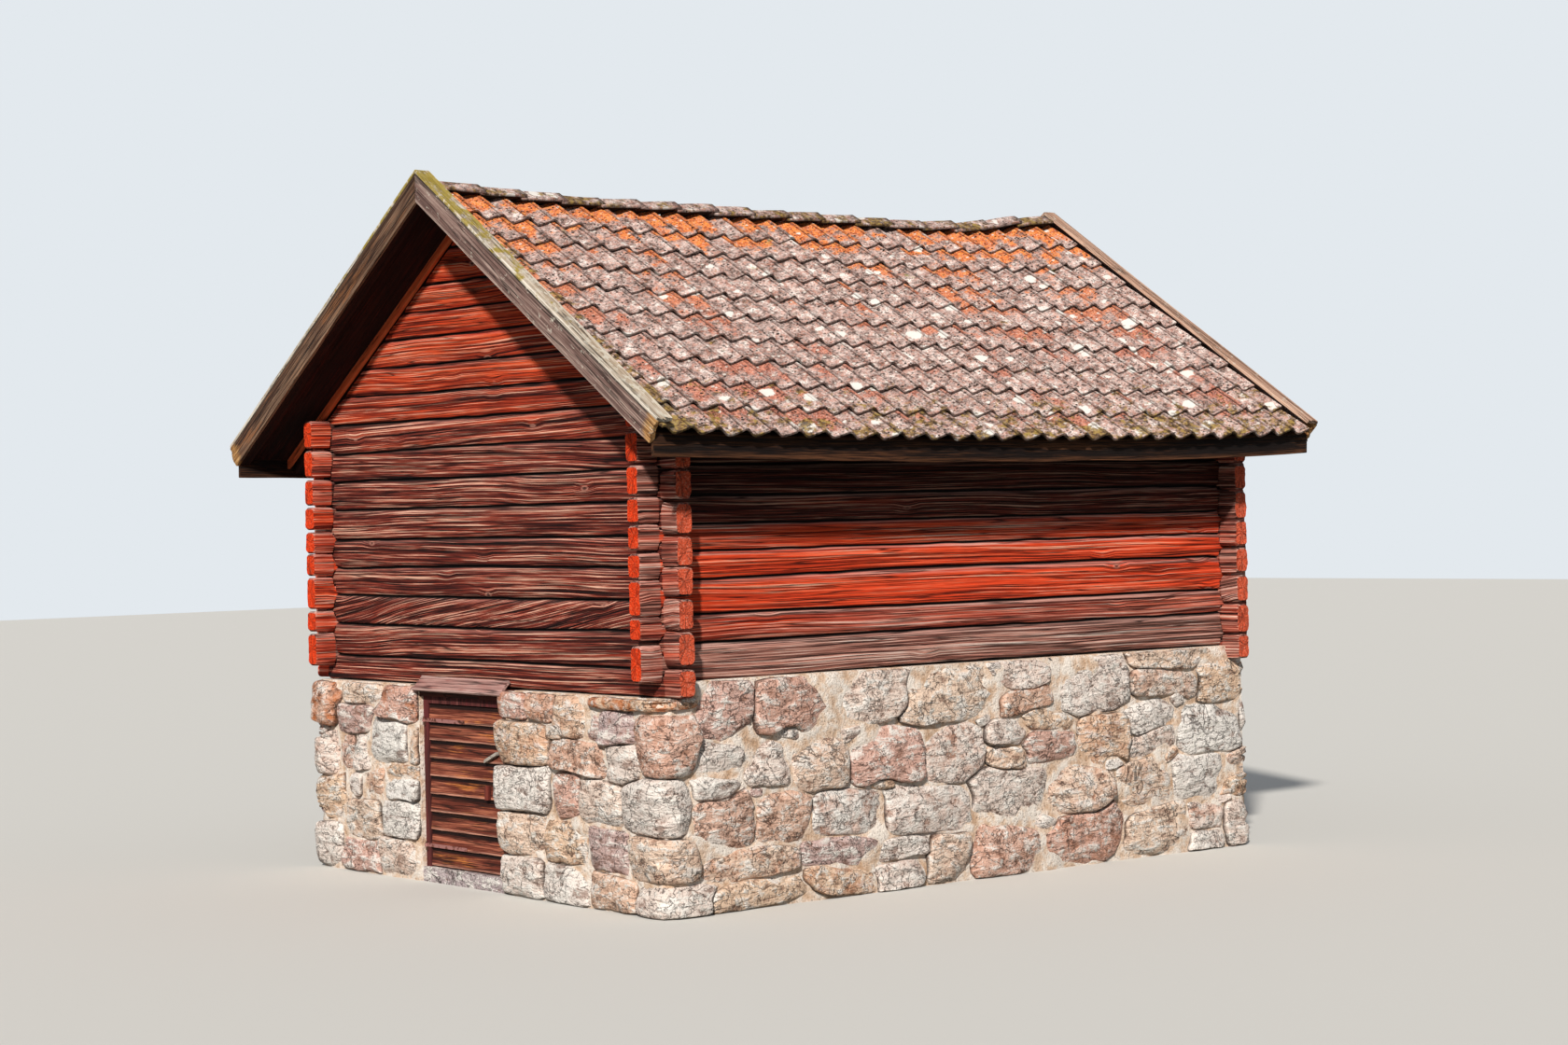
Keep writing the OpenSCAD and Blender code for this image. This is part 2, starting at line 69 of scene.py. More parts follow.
# %% [markdown]
# ## The camera
# The photograph's viewpoint was solved from joints and corners of the building. The eye
# is 2.5 m over the lowest ground and about 19 m from the near corner, and the lens is
# about 66 mm on a 36 mm sensor. Yaw, pitch and roll turn a view that looks along +Y.

# %% Camera at the photograph's viewpoint
EYE = (16.316, -13.058, 2.465)
YAW, PITCH, ROLL = (math.radians(a) for a in (51.049, -0.153, -1.271))
LENS_MM, SENSOR_MM, FARTHEST = 66.3, 36.0, 400

camera_data = bpy.data.cameras.new("photo_camera")
camera_data.lens = LENS_MM
camera_data.sensor_width = SENSOR_MM
camera_data.clip_end = FARTHEST
camera = bpy.data.objects.new("photo_camera", camera_data)
bpy.context.scene.collection.objects.link(camera)
look = Matrix.Rotation(YAW, 4, "Z") @ Matrix.Rotation(math.pi / 2 + PITCH, 4, "X")
camera.matrix_world = Matrix.Translation(EYE) @ look @ Matrix.Rotation(ROLL, 4, "Z")
bpy.context.scene.camera = camera

# %% [markdown]
# ## Colours and nodes
# Colours are written as the sRGB codes that a paint chart gives, and one function turns
# them into the linear numbers that the renderer works with. One more function adds a
# node together with its settings and links, so that a material reads like a recipe.

# %% Colours and nodes
def rgb(code):
    """Linear colour of an sRGB hex code such as "#8a2a20"."""
    parts = [int(code[i:i + 2], 16) / 255 for i in (1, 3, 5)]
    return tuple(v / 12.92 if v <= 0.04045 else ((v + 0.055) / 1.055) ** 2.4 for v in parts) + (1.0,)


def add(tree, kind, *values, get=0, stops=(), **settings):
    """Adds a node with its settings and links, and gives back one of its outputs, or the
    node itself if get is None. values go to its inputs in order, or one dict says which goes
    where. Each is a number, a hex code or an output. stops fill the node's colour ramp."""
    node = tree.nodes.new(kind)
    for name, value in settings.items():
        setattr(node, name, value)
    links = values[0] if values and isinstance(values[0], dict) else dict(enumerate(values))
    for key, value in links.items():
        if isinstance(value, bpy.types.NodeSocket):
            tree.links.new(value, node.inputs[key])
        else:
            is_code = isinstance(value, str) and value.startswith("#")
            node.inputs[key].default_value = rgb(value) if is_code else value
    if stops:
        for _ in stops[2:]:
            node.color_ramp.elements.new(0.5)
        for element, (place, code) in zip(node.color_ramp.elements, stops):
            element.position = place
            element.color = rgb(code)
    return node if get is None else node.outputs[get]


def new_material(name):
    """An empty node material with its principled shader."""
    material = bpy.data.materials.new(name)
    material.use_nodes = True
    print("finish", name)
    return material, material.node_tree, material.node_tree.nodes["Principled BSDF"]


# %% [markdown]
# ### Masks and coats
# A finish is laid on in coats, as on the real thing: a first colour, and others over it
# where a mask lets them show. A mask is a number from 0 to 1 at each point. Masks come
# from noise and from what the mesh knows, and sums and products join them.

# %% Masks, coats and the last step of a finish
def speckle(tree, vector, scale, detail=4.0, roughness=0.55, distortion=0.0):
    """Noise on a vector. scale is in swings per metre, one number or one for each axis."""
    if not isinstance(scale, (int, float)):
        vector = add(tree, "ShaderNodeMapping", {"Vector": vector, "Scale": scale})
        scale = 1.0
    return add(tree, "ShaderNodeTexNoise", {"Vector": vector, "Scale": scale, "Detail": detail,
                                            "Roughness": roughness, "Distortion": distortion}, get="Fac")


def carried(tree, *names):
    """The numbers that the mesh carries at its points under these names."""
    return [add(tree, "ShaderNodeAttribute", get="Fac", attribute_name=name) for name in names]


def weighted(tree, *pairs):
    """Sum of values times weights. A pair is (value, weight)."""
    total = None
    for value, weight in pairs:
        term = value if weight == 1 else add(tree, "ShaderNodeMath", value, weight, operation="MULTIPLY")
        total = term if total is None else add(tree, "ShaderNodeMath", total, term, operation="ADD")
    return total


def both(tree, first, *others):
    """Product of masks: what is left where all of them let through."""
    for other in others:
        first = add(tree, "ShaderNodeMath", first, other, operation="MULTIPLY")
    return first


def strongest(tree, first, *others):
    """The highest of several masks."""
    for other in others:
        first = add(tree, "ShaderNodeMath", first, other, operation="MAXIMUM")
    return first


def coat(tree, below, above, value, low=0.0, high=1.0, cover=1.0):
    """Lays one colour over another where a value passes from low to high. cover is how
    opaque the coat is at its thickest. Each colour is an output or a hex code."""
    where = add(tree, "ShaderNodeMapRange", value, low, high, 0.0, cover)
    return add(tree, "ShaderNodeMix", {0: where, 6: below, 7: above}, get=2, data_type="RGBA")


def finish(tree, shader, colour, roughness, height, depth_mm, specular=0.3):
    """Puts colour, roughness and a bump of so many millimetres on a principled shader."""
    tree.links.new(colour, shader.inputs["Base Color"])
    if isinstance(roughness, bpy.types.NodeSocket):
        tree.links.new(roughness, shader.inputs["Roughness"])
    else:
        shader.inputs["Roughness"].default_value = roughness
    shader.inputs["Specular IOR Level"].default_value = specular
    bump = add(tree, "ShaderNodeBump", {"Height": height, "Distance": depth_mm / 1000, "Strength": 1.0})
    tree.links.new(bump, shader.inputs["Normal"])


# %% [markdown]
# ## Light and background
# The shadows of the eave, the bargeboards and the log heads in the photograph agree on
# one sun, 32 degrees high and to the front. The lamp is 3 degrees wide, which keeps
# those shadows and softens their edges, and an even sky fills them. What the camera
# sees of the sky is paler than what lights the walls: Light Path tells the rays apart.

# %% Sun and sky
SUN_FROM = Vector((0.559, -0.633, 0.536))
SUN_STRENGTH = 4.1
SUN_WIDTH = math.radians(3)
SUN_COLOUR = (1.0, 0.96, 0.90)
SKY_COLOUR = "#dfe8f4"
SKY_STRENGTH = 0.30
BACKDROP = "#e3e9ee"

scene = bpy.context.scene
scene.view_settings.view_transform = "Standard"
sun = bpy.data.objects.new("sun", bpy.data.lights.new("sun", "SUN"))
sun.data.energy = SUN_STRENGTH
sun.data.angle = SUN_WIDTH
sun.data.color = SUN_COLOUR
sun.rotation_euler = SUN_FROM.to_track_quat("Z", "Y").to_euler()
scene.collection.objects.link(sun)

world = bpy.data.worlds.new("pale_sky")
world.use_nodes = True
scene.world = world
sky = world.node_tree
path = add(sky, "ShaderNodeLightPath", get=None).outputs
seen = strongest(sky, path["Is Camera Ray"], path["Is Glossy Ray"], path["Is Transmission Ray"])
lighting = sky.nodes["Background"]
lighting.inputs["Color"].default_value = rgb(SKY_COLOUR)
lighting.inputs["Strength"].default_value = SKY_STRENGTH
shown = add(sky, "ShaderNodeBackground", {"Color": BACKDROP, "Strength": 1.0})
mixed = add(sky, "ShaderNodeMixShader", seen, lighting.outputs[0], shown)
sky.links.new(mixed, sky.nodes["World Output"].inputs["Surface"])
print("sun", round(math.degrees(math.asin(SUN_FROM.normalized().z)), 1), "degrees high")

# %% [markdown]
# ### Floor
# The floor looks pale to the camera, but throws less light back up than that colour
# would, as grass does. It is a stage for the building and no part of it.

# %% Floor
FLOOR = "#d8d5cf"
FLOOR_BOUNCE = "#727168"
FLOOR_HALF, FLOOR_ROUGH = 60.0, 0.9

floor_mesh = bpy.data.meshes.new("floor")
corners = [(x * FLOOR_HALF, y * FLOOR_HALF, 0) for x, y in ((-1, -1), (1, -1), (1, 1), (-1, 1))]
floor_mesh.from_pydata(corners, [], [(0, 1, 2, 3)])
floor = bpy.data.objects.new("floor", floor_mesh)
scene.collection.objects.link(floor)
floor_material, tree, shader = new_material("pale_floor")
ray = add(tree, "ShaderNodeLightPath", get="Is Camera Ray")
tree.links.new(coat(tree, FLOOR_BOUNCE, FLOOR, ray), shader.inputs["Base Color"])
shader.inputs["Roughness"].default_value = FLOOR_ROUGH
floor_mesh.materials.append(floor_material)

# %% [markdown]
# ## Randomness that stays the same
# Hewn wood, stones and old tiles are uneven everywhere. A hash of whole numbers gives
# each point of a lattice its own value, and smooth steps between them make soft swings.
# It works on a whole array of points at once and gives the same shape on every run.

# %% Smooth noise on arrays of points
# One factor of the hash for each axis, and one that stirs the bits of a 32-bit word
HASH_X, HASH_Y, HASH_Z, STIR = 73856093, 19349663, 83492791, 73244475
WORD, HALF_WORD = 0xFFFFFFFF, 2147483648.0


def xyz(x, y, z):
    """Points from three coordinates. Each is an array, or one number for all of them."""
    return np.stack(np.broadcast_arrays(x, y, z), axis=-1).astype(float)


def ripple(points, seed=0):
    """Soft values from -1 to 1 at points, with one swing to a unit of length."""
    points = np.asarray(points, float)
    cell = np.floor(points).astype(np.int64)
    t = points - cell
    t = t * t * t * (t * (t * 6 - 15) + 10)
    total = np.zeros(len(points))
    for corner in range(8):
        step = np.array([corner & 1, corner >> 1 & 1, corner >> 2 & 1])
        place = cell + step
        h = place[:, 0] * HASH_X ^ place[:, 1] * HASH_Y ^ place[:, 2] * HASH_Z
        h = (h ^ (seed * 40503 + 977)) & WORD
        h = (h ^ (h >> 15)) * STIR & WORD
        h = (h ^ (h >> 13)) * STIR & WORD
        h = h ^ (h >> 16)
        total += np.prod(np.where(step == 1, t, 1 - t), axis=1) * (h / HALF_WORD - 1)
    return total


def rough(points, size, octaves=3, seed=0):
    """Several ripples on top of each other. size is the widest swing, in metres."""
    points = np.asarray(points, float) / size
    return sum(ripple(points * 2 ** k, seed + k) / 2 ** k for k in range(octaves))


# %% [markdown]
# ## Meshes from parts
# A wall is many logs and a roof many boards, but each is shown as one piece that rides
# on one body. A part is a set of points and faces with values for each point, such as
# how much paint is left there. Parts are joined into one mesh, and the values become
# attributes that the materials read.

# %% Parts and pieces
def part(points, faces, finishes=None, **values):
    """A bit of mesh. finishes gives each face's material, values each point's attributes."""
    full = {key: np.broadcast_to(np.asarray(value, float), (len(points),) + np.shape(value)[1:])
            for key, value in values.items()}
    return {"points": np.asarray(points, float), "faces": faces,
            "finishes": finishes or [0] * len(faces), "values": full}


def piece(name, parts, materials, body, slot, hides=(), crease=40.0):
    """One mesh object of all the parts, riding on a body in place of the CAD nodes. Its
    points are held inside the building's box, so that relief doesn't make it larger."""
    points = np.clip(np.concatenate([p["points"] for p in parts]), cad_low, cad_high)
    faces, finishes, start = [], [], 0
    for p in parts:
        faces += [tuple(i + start for i in face) for face in p["faces"]]
        finishes += p["finishes"]
        start += len(p["points"])
    mesh = bpy.data.meshes.new(name)
    mesh.from_pydata(points.tolist(), [], faces)
    for key in parts[0]["values"]:
        data = np.concatenate([p["values"][key] for p in parts])
        kind = "FLOAT_VECTOR" if data.ndim > 1 else "FLOAT"
        layer = mesh.attributes.new(key, kind, "POINT")
        layer.data.foreach_set("vector" if data.ndim > 1 else "value", data.astype(np.float32).ravel())
    for material in materials:
        mesh.materials.append(material)
    mesh.polygons.foreach_set("material_index", finishes)
    mesh.polygons.foreach_set("use_smooth", [True] * len(mesh.polygons))
    mesh.set_sharp_from_angle(angle=math.radians(crease))
    mesh.update()
    thing = bpy.data.objects.new(name, mesh)
    scene.collection.objects.link(thing)
    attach(thing, body)
    if hides:
        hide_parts(*hides)
    mesh.calc_loop_triangles()
    print(name, len(mesh.loop_triangles), "triangles")


def wear(node, material):
    """Gives a finish to a node whose own mesh stays."""
    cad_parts[node].data.materials.clear()
    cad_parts[node].data.materials.append(material)


def skin(rings, columns):
    """Faces of a tube: rings of points one after another, each closed round columns points."""
    return [(r * columns + c, r * columns + (c + 1) % columns,
             (r + 1) * columns + (c + 1) % columns, (r + 1) * columns + c)
            for r in range(rings - 1) for c in range(columns)]


def face_out(parts):
    """Turns the faces of each part away from the middle of them all."""
    centre = np.concatenate([p["points"] for p in parts]).mean(axis=0)
    for p in parts:
        q = p["points"] - centre
        corners = np.array([face[:3] for face in p["faces"]])
        a, b, c = (q[corners[:, k]] for k in range(3))
        if np.einsum("ij,ij->i", a, np.cross(b, c)).sum() < 0:
            p["faces"] = [face[::-1] for face in p["faces"]]
    return parts


# %% [markdown]
# ## Reading the solids
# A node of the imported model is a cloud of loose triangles. Merging the points that
# coincide and following the triangles from point to point gives back each single solid,
# and so the place of every log and board without any number being written twice.

# %% Boxes of the single solids in a node
def solids(node):
    """Low and high corners of each solid in a CAD node, from the lowest solid up."""
    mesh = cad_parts[node].data
    points = np.empty(len(mesh.vertices) * 3, np.float32)
    mesh.vertices.foreach_get("co", points)
    points = points.reshape(-1, 3).astype(float)
    _, merged = np.unique(np.round(points, 5), axis=0, return_inverse=True)
    merged = merged.ravel()
    mesh.calc_loop_triangles()
    corners = np.empty(len(mesh.loop_triangles) * 3, np.int32)
    mesh.loop_triangles.foreach_get("vertices", corners)
    label = np.arange(merged.max() + 1)
    edges = merged[corners].reshape(-1, 3)
    while True:
        lowest = label[edges].min(axis=1)
        before = label.copy()
        for k in range(3):
            np.minimum.at(label, edges[:, k], lowest)
        label = label[label]
        if (label == before).all():
            break
    groups = label[merged]
    found = [(points[groups == g].min(axis=0), points[groups == g].max(axis=0)) for g in np.unique(groups)]
    return sorted(found, key=lambda box: (round(box[0][2], 3), round(box[0][0], 3), round(box[0][1], 3)))


front_logs = solids("front_wall_logs")
side_logs = solids("right_wall_logs")
gable_logs = solids("front_gable_logs")
print(len(front_logs), "gable wall logs,", len(side_logs), "long wall logs,", len(gable_logs), "in the gable")

# %% [markdown]
# ## Finish of the logs: red ochre distemper on hewn pine
# The paint is iron oxide boiled in rye flour and water. It soaks into the wood, stays
# bright where it is fresh or sheltered and wears off the raised fibres, so that dark
# grain and drying cracks show in long lines. Each log carries its own grain coordinates,
# in metres: along the log, across its face and into it. Noise that is stretched along
# the log gives ridges 50 mm and 12 mm apart, and hairs of 4 mm. The bright paint, the
# bleached wood and the bump all read the same ridges, as they do on the real log.

# %% Painted log finish
def line_of(tree, noise, width):
    """A thin line where a noise passes through its middle value."""
    away = add(tree, "ShaderNodeMath", noise, 0.5, operation="SUBTRACT")
    away = add(tree, "ShaderNodeMath", away, operation="ABSOLUTE")
    return add(tree, "ShaderNodeMapRange", away, 0.0, width, 1.0, 0.0)


def painted_log(name):
    """Distemper from worn to bright, bleached wood, knots, drying cracks and painted shade at the joints."""
    material, tree, shader = new_material(name)
    grain = add(tree, "ShaderNodeAttribute", get="Vector", attribute_name="grain")
    paint, grey, level, check, crest, soot = carried(tree, "paint", "grey", "level", "check", "crest", "soot")
    # One knot in each cell of a coarse lattice, and only in some of them. Grain arches over it
    cells = add(tree, "ShaderNodeMapping", {"Vector": grain, "Scale": (2.2, 5.0, 3.0)})
    knots = add(tree, "ShaderNodeTexVoronoi", {"Vector": cells, "Scale": 1.0}, get=None).outputs
    picked = add(tree, "ShaderNodeMath", add(tree, "ShaderNodeSeparateColor", knots["Color"]), 0.62,
                 operation="GREATER_THAN")
    arch = both(tree, add(tree, "ShaderNodeMapRange", knots["Distance"], 0.0, 0.30, 0.022, 0.0), picked)
    arch = add(tree, "ShaderNodeCombineXYZ", {1: arch})
    fibre = add(tree, "ShaderNodeVectorMath", grain, arch, operation="ADD")
    broad = speckle(tree, fibre, (0.30, 20, 6), 3, 0.6, 0.2)
    lines = speckle(tree, fibre, (0.6, 84, 20), 4, 0.66, 0.3)
    hairs = speckle(tree, fibre, (1.7, 240, 60), 3, 0.65)
    patches = speckle(tree, grain, (1.1, 6, 5), 3, 0.6)
    ridge = weighted(tree, (broad, 0.16), (lines, 0.50), (hairs, 0.34))
    worn, fresh, bright, pale = (add(tree, "ShaderNodeValToRGB", ridge, stops=stops) for stops in (
        [(0.43, "#0c0303"), (0.455, "#3c1412"), (0.50, "#7a2c22"), (0.54, "#bb5a44"), (0.565, "#f6c0a6")],
        [(0.41, "#380c08"), (0.44, "#ae2e18"), (0.50, "#e24a22"), (0.55, "#f06e44"), (0.59, "#fcb89c")],
        [(0.41, "#701a0e"), (0.44, "#d03c1e"), (0.50, "#fd5026"), (0.55, "#fe7650"), (0.59, "#fec6a8")],
        [(0.42, "#281614"), (0.45, "#7c5046"), (0.50, "#b87e6e"), (0.545, "#d8a696"), (0.58, "#f4dcd0")]))
    amount = weighted(tree, (paint, 1), (patches, 0.55), (broad, 1.2))
    colour = coat(tree, worn, fresh, amount, 1.20, 1.55)
    colour = coat(tree, colour, bright, amount, 1.85, 2.10)
    bleached = weighted(tree, (grey, 1), (patches, 0.7), (lines, 0.9))
    colour = coat(tree, colour, pale, bleached, 1.05, 1.60)
    # Painted highlight: the upper edge of each log is lighter where its round catches the light, most on the
    # long walls
    arris = both(tree, add(tree, "ShaderNodeMapRange", level, 0.62, 0.76),
                 add(tree, "ShaderNodeMapRange", lines, 0.42, 0.52, 0.15, 0.8), crest)
    colour = coat(tree, colour, "#d8a598", arris)
    # The long drying crack keeps to its level on the log, and gapes only in stretches
    wander = weighted(tree, (speckle(tree, grain, (0.9, 0.1, 0.1), 2, 0.5), 0.5), (check, -1.0), (level, 1))
    wander = add(tree, "ShaderNodeMath", wander, 0.25, operation="ADD")
    gaping = add(tree, "ShaderNodeMapRange", speckle(tree, grain, (0.6, 0.3, 0.3), 1), 0.46, 0.52)
    splits = strongest(tree, line_of(tree, speckle(tree, fibre, (0.20, 12, 4), 3, 0.5, 0.1), 0.012),
                       line_of(tree, speckle(tree, fibre, (0.40, 38, 10), 3, 0.5, 0.2), 0.030),
                       both(tree, line_of(tree, wander, 0.055), gaping))
    colour = coat(tree, colour, "#100605", splits, cover=0.9)
    ragged = weighted(tree, (knots["Distance"], 1), (lines, 0.10))
    knot = both(tree, add(tree, "ShaderNodeMapRange", ragged, 0.125, 0.150, 1.0, 0.0), picked)
    core = both(tree, add(tree, "ShaderNodeMapRange", ragged, 0.085, 0.105, 1.0, 0.0), picked)
    colour = coat(tree, colour, "#d09280", knot, cover=0.55)
    colour = coat(tree, colour, "#30120f", core, cover=0.8)
    # Painted shadow of the eave: the top logs of the long walls are darkened where the eave shades them
    colour = coat(tree, colour, "#180c09", soot, cover=0.8)
    # Painted shade: each log darkens towards its upper and lower edges, where the joints lie in shadow
    from_middle = add(tree, "ShaderNodeMath", level, operation="ABSOLUTE")
    colour = coat(tree, colour, "#0e0504", from_middle, 0.86, 0.94)
    height = weighted(tree, (broad, 0.30), (lines, 0.50), (hairs, 0.16), (splits, -0.20), (knot, 0.08))
    dull = add(tree, "ShaderNodeMapRange", lines, 0.4, 0.6, 0.95, 0.78)
    finish(tree, shader, colour, dull, height, 30.0, 0.2)
    return material


LOG_PAINT = painted_log("red_distemper_on_pine")

# %% [markdown]
# ### Painted end grain
# Log ends drink more paint than flanks, so they stay bright, and they crack in a star
# from the pith. Lumps of 12 mm stand for axe marks and flaking paint.

# %% End grain finish
def painted_end_grain(name, bright, dull, pale):
    """Bright paint with dull blotches, pale flakes and dark cracks round the pith."""
    material, tree, shader = new_material(name)
    grain = add(tree, "ShaderNodeAttribute", get="Vector", attribute_name="grain")
    split = add(tree, "ShaderNodeSeparateXYZ", grain, get=None).outputs
    angle = add(tree, "ShaderNodeMath", split[1], split[0], operation="ARCTAN2")
    radius = add(tree, "ShaderNodeVectorMath", grain, get="Value", operation="LENGTH")
    around = add(tree, "ShaderNodeCombineXYZ", weighted(tree, (angle, 2.2)),
                 weighted(tree, (radius, 9.0)), split[2])
    star = line_of(tree, speckle(tree, around, 1.0, 2, 0.5), 0.03)
    lumps = speckle(tree, grain, 85, 4, 0.68)
    blotch = speckle(tree, grain, 16, 3, 0.6)
    colour = add(tree, "ShaderNodeValToRGB", blotch, stops=[(0.28, dull), (0.42, bright), (0.68, bright)])
    colour = coat(tree, colour, dull, lumps, 0.47, 0.36)
    colour = coat(tree, colour, pale, lumps, 0.54, 0.62, 0.6)
    colour = coat(tree, colour, "#3a120c", lumps, 0.37, 0.33)
    colour = coat(tree, colour, "#2a0f0c", star, cover=0.7)
    finish(tree, shader, colour, 0.85, weighted(tree, (lumps, 1), (star, -0.3)), 16.0, 0.2)
    return material


END_FRONT = painted_end_grain("red_distemper_end_grain", "#fe4614", "#d03814", "#fa7c50")
END_SIDE = painted_end_grain("worn_distemper_end_grain", "#f26440", "#ae4a34", "#f4ac92")

# %% [markdown]
# ## The logs
# Each log was hewn flat on two sides and scribed onto the one below, so the joints
# wander. Their grooves are dark, and painted shade along them makes them darker.
# Where two walls cross, half of each log is cut away, and past the crossing the log
# swells out again to its full height: the log head. A loft does all of this. Rings of
# points stand along the log, and the height of each ring follows the notch, the slanted
# neck and the tip. A ring has more points on the outer face, where the weathered ridges
# are real relief.

# %% Sections of a log
LOG_REACH = front_logs[0][1][0] - side_logs[0][1][0]
LOG_THICK = front_logs[0][1][1] - front_logs[0][0][1]
LOG_HALF_HIGH = 0.1
HEAD_GAP, NECK, TIP, TIP_ROUND = 0.013, 0.014, 0.014, 0.012
SEAM_WANDER, SEAM_ROUGH = 0.015, 0.0035
RING_STEP, ROUND_COUNT, FINE_POINTS = 0.05, 44, 1440
# Points on the outer face stand this many times closer than elsewhere
OUTER_SHARE = 3.0


def log_section(power):
    """Points from -1 to 1 round a shape between square and round, closer on the outside."""
    fine = np.linspace(0, 2 * math.pi, FINE_POINTS, endpoint=False) + math.pi
    across = np.sign(np.cos(fine)) * np.abs(np.cos(fine)) ** (2 / power)
    up = np.sign(np.sin(fine)) * np.abs(np.sin(fine)) ** (2 / power)
    length = np.hypot(np.diff(across, append=across[0]) * LOG_THICK / 2,
                      np.diff(up, append=up[0]) * LOG_HALF_HIGH)
    length = np.cumsum(length * np.where(across > 0.7, OUTER_SHARE, 1.0))
    picked = np.searchsorted(length, np.linspace(0, length[-1], ROUND_COUNT, endpoint=False))
    return np.stack([across[picked], up[picked]], axis=1)


BODY_SECTION = log_section(5.0)
HEAD_SECTION = log_section(6.5)


def seam(along, number, wall):
    """How far a joint between two logs strays from its level."""
    wide = xyz(along * 0.42, number * 3.7, wall)
    return SEAM_WANDER * ripple(wide) + SEAM_ROUGH * ripple(wide * (12, 1, 1), 5)


# %% [markdown]
# The functions below make one log lying along a wall, and place turns it into the wall.
# The two ends are closed with rings that shrink to the middle, dented like axed wood.

# %% Ends of a log
END_RINGS = (1.0, 0.72, 0.45, 0.2)
END_DENT = 0.005
# The pith lies this far off the middle
PITH_OFF = 0.01


def log_ends(s, out, up, middle, seed, roof_line, place):
    """The two end faces of a log, from its first and last rings."""
    parts = []
    for end, ring in ((1, len(s) - 1), (-1, 0)):
        rows = []
        for k, share in enumerate(END_RINGS):
            o, u = out[ring] * share, middle[ring] + (up[ring] - middle[ring]) * share
            dent = END_DENT * ripple(xyz(o * 34, u * 34, seed + end), 2) * (k > 0)
            rows.append(xyz(s[ring] + end * dent, o, u))
        cap = np.concatenate(rows)
        if roof_line is not None:
            inside = cap[ROUND_COUNT:]
            inside[:, 0] = end * np.minimum(np.abs(s[ring]).max(), roof_line(inside[:, 2]))
        pith = xyz(cap[:, 1] - PITH_OFF, cap[:, 2] - middle[ring] - PITH_OFF, seed * 1.3 + end)
        last = len(cap) - ROUND_COUNT
        faces = skin(len(END_RINGS), ROUND_COUNT) + [tuple(range(last, len(cap)))[::-1]]
        parts.append(part(place(cap[:, 0], cap[:, 1], cap[:, 2]), faces, [1] * len(faces), grain=pith,
                          paint=0.6, grey=0.0, level=0.0, check=3.0, crest=0.0, soot=0.0))
    return parts


# %% [markdown]
# The rings of a log stand 50 mm apart, and closer at the notch and the tip. In the body
# their edges follow the wandering joints, in the crossing the levels of the notch, and
# the heads are a little uneven.

# %% Levels along one log
HEAD_UNEVEN, SEAM_FADE = 0.007, 0.12


def log_profile(half, bottom, top, notch, wall, number):
    """Places of the rings along a log, their upper and lower edges, how far each is in a head,
    from 0 to 1, and where the heads begin."""
    outer = half - LOG_REACH if notch else half + 1
    inner = outer - LOG_THICK
    if notch:
        middle = np.linspace(-inner, inner, int(2 * inner / RING_STEP))
        past = [inner + 0.001, (inner + outer) / 2, outer - 0.001, outer + NECK / 2, outer + NECK,
                (outer + NECK + half) / 2, half - TIP, half]
        along = np.concatenate([np.negative(past[::-1]), middle, past])
    else:
        along = np.linspace(-half, half, int(2 * half / RING_STEP) + 2)
    beyond = np.abs(along)
    upper, lower = np.full(len(along), top), np.full(len(along), bottom)
    neck = np.clip((beyond - outer) / NECK, 0, 1)
    if notch:
        low, high = notch
        uneven = HEAD_UNEVEN * ripple(xyz(along * 3, wall * 31 + number, 0), 9)
        tip = np.clip((beyond - (half - TIP)) / TIP, 0, 1) * TIP_ROUND
        upper = np.where(beyond > inner, high, upper)
        lower = np.where(beyond > inner, low, lower)
        upper = np.where(beyond >= outer, high + (top - HEAD_GAP / 2 + uneven - high) * neck, upper) - tip
        lower = np.where(beyond >= outer, low + (bottom + HEAD_GAP / 2 + uneven - low) * neck, lower) + tip
    body = np.clip((inner - beyond) / SEAM_FADE, 0, 1)
    upper = upper + body * seam(along, number + 1, wall)
    lower = lower + body * seam(along, number, wall)
    return along, upper, lower, neck, outer


# %% [markdown]
# Along the log the outer face has ridges 42 mm and 21 mm apart, and slow swells. Axe
# marks of 4 mm show on the heads only, where the log was dressed to the notch.

# %% One log
RIDGE_DEEP, FINE_RIDGE_DEEP, SWELL_DEEP, CHOP_DEEP = 0.0035, 0.0032, 0.004, 0.004
GRAIN_WAVE, TIP_NARROW, ROOF_UNEVEN, HEAD_BLEND, GREY_SPREAD = 0.012, 0.08, 0.004, 0.01, 0.25


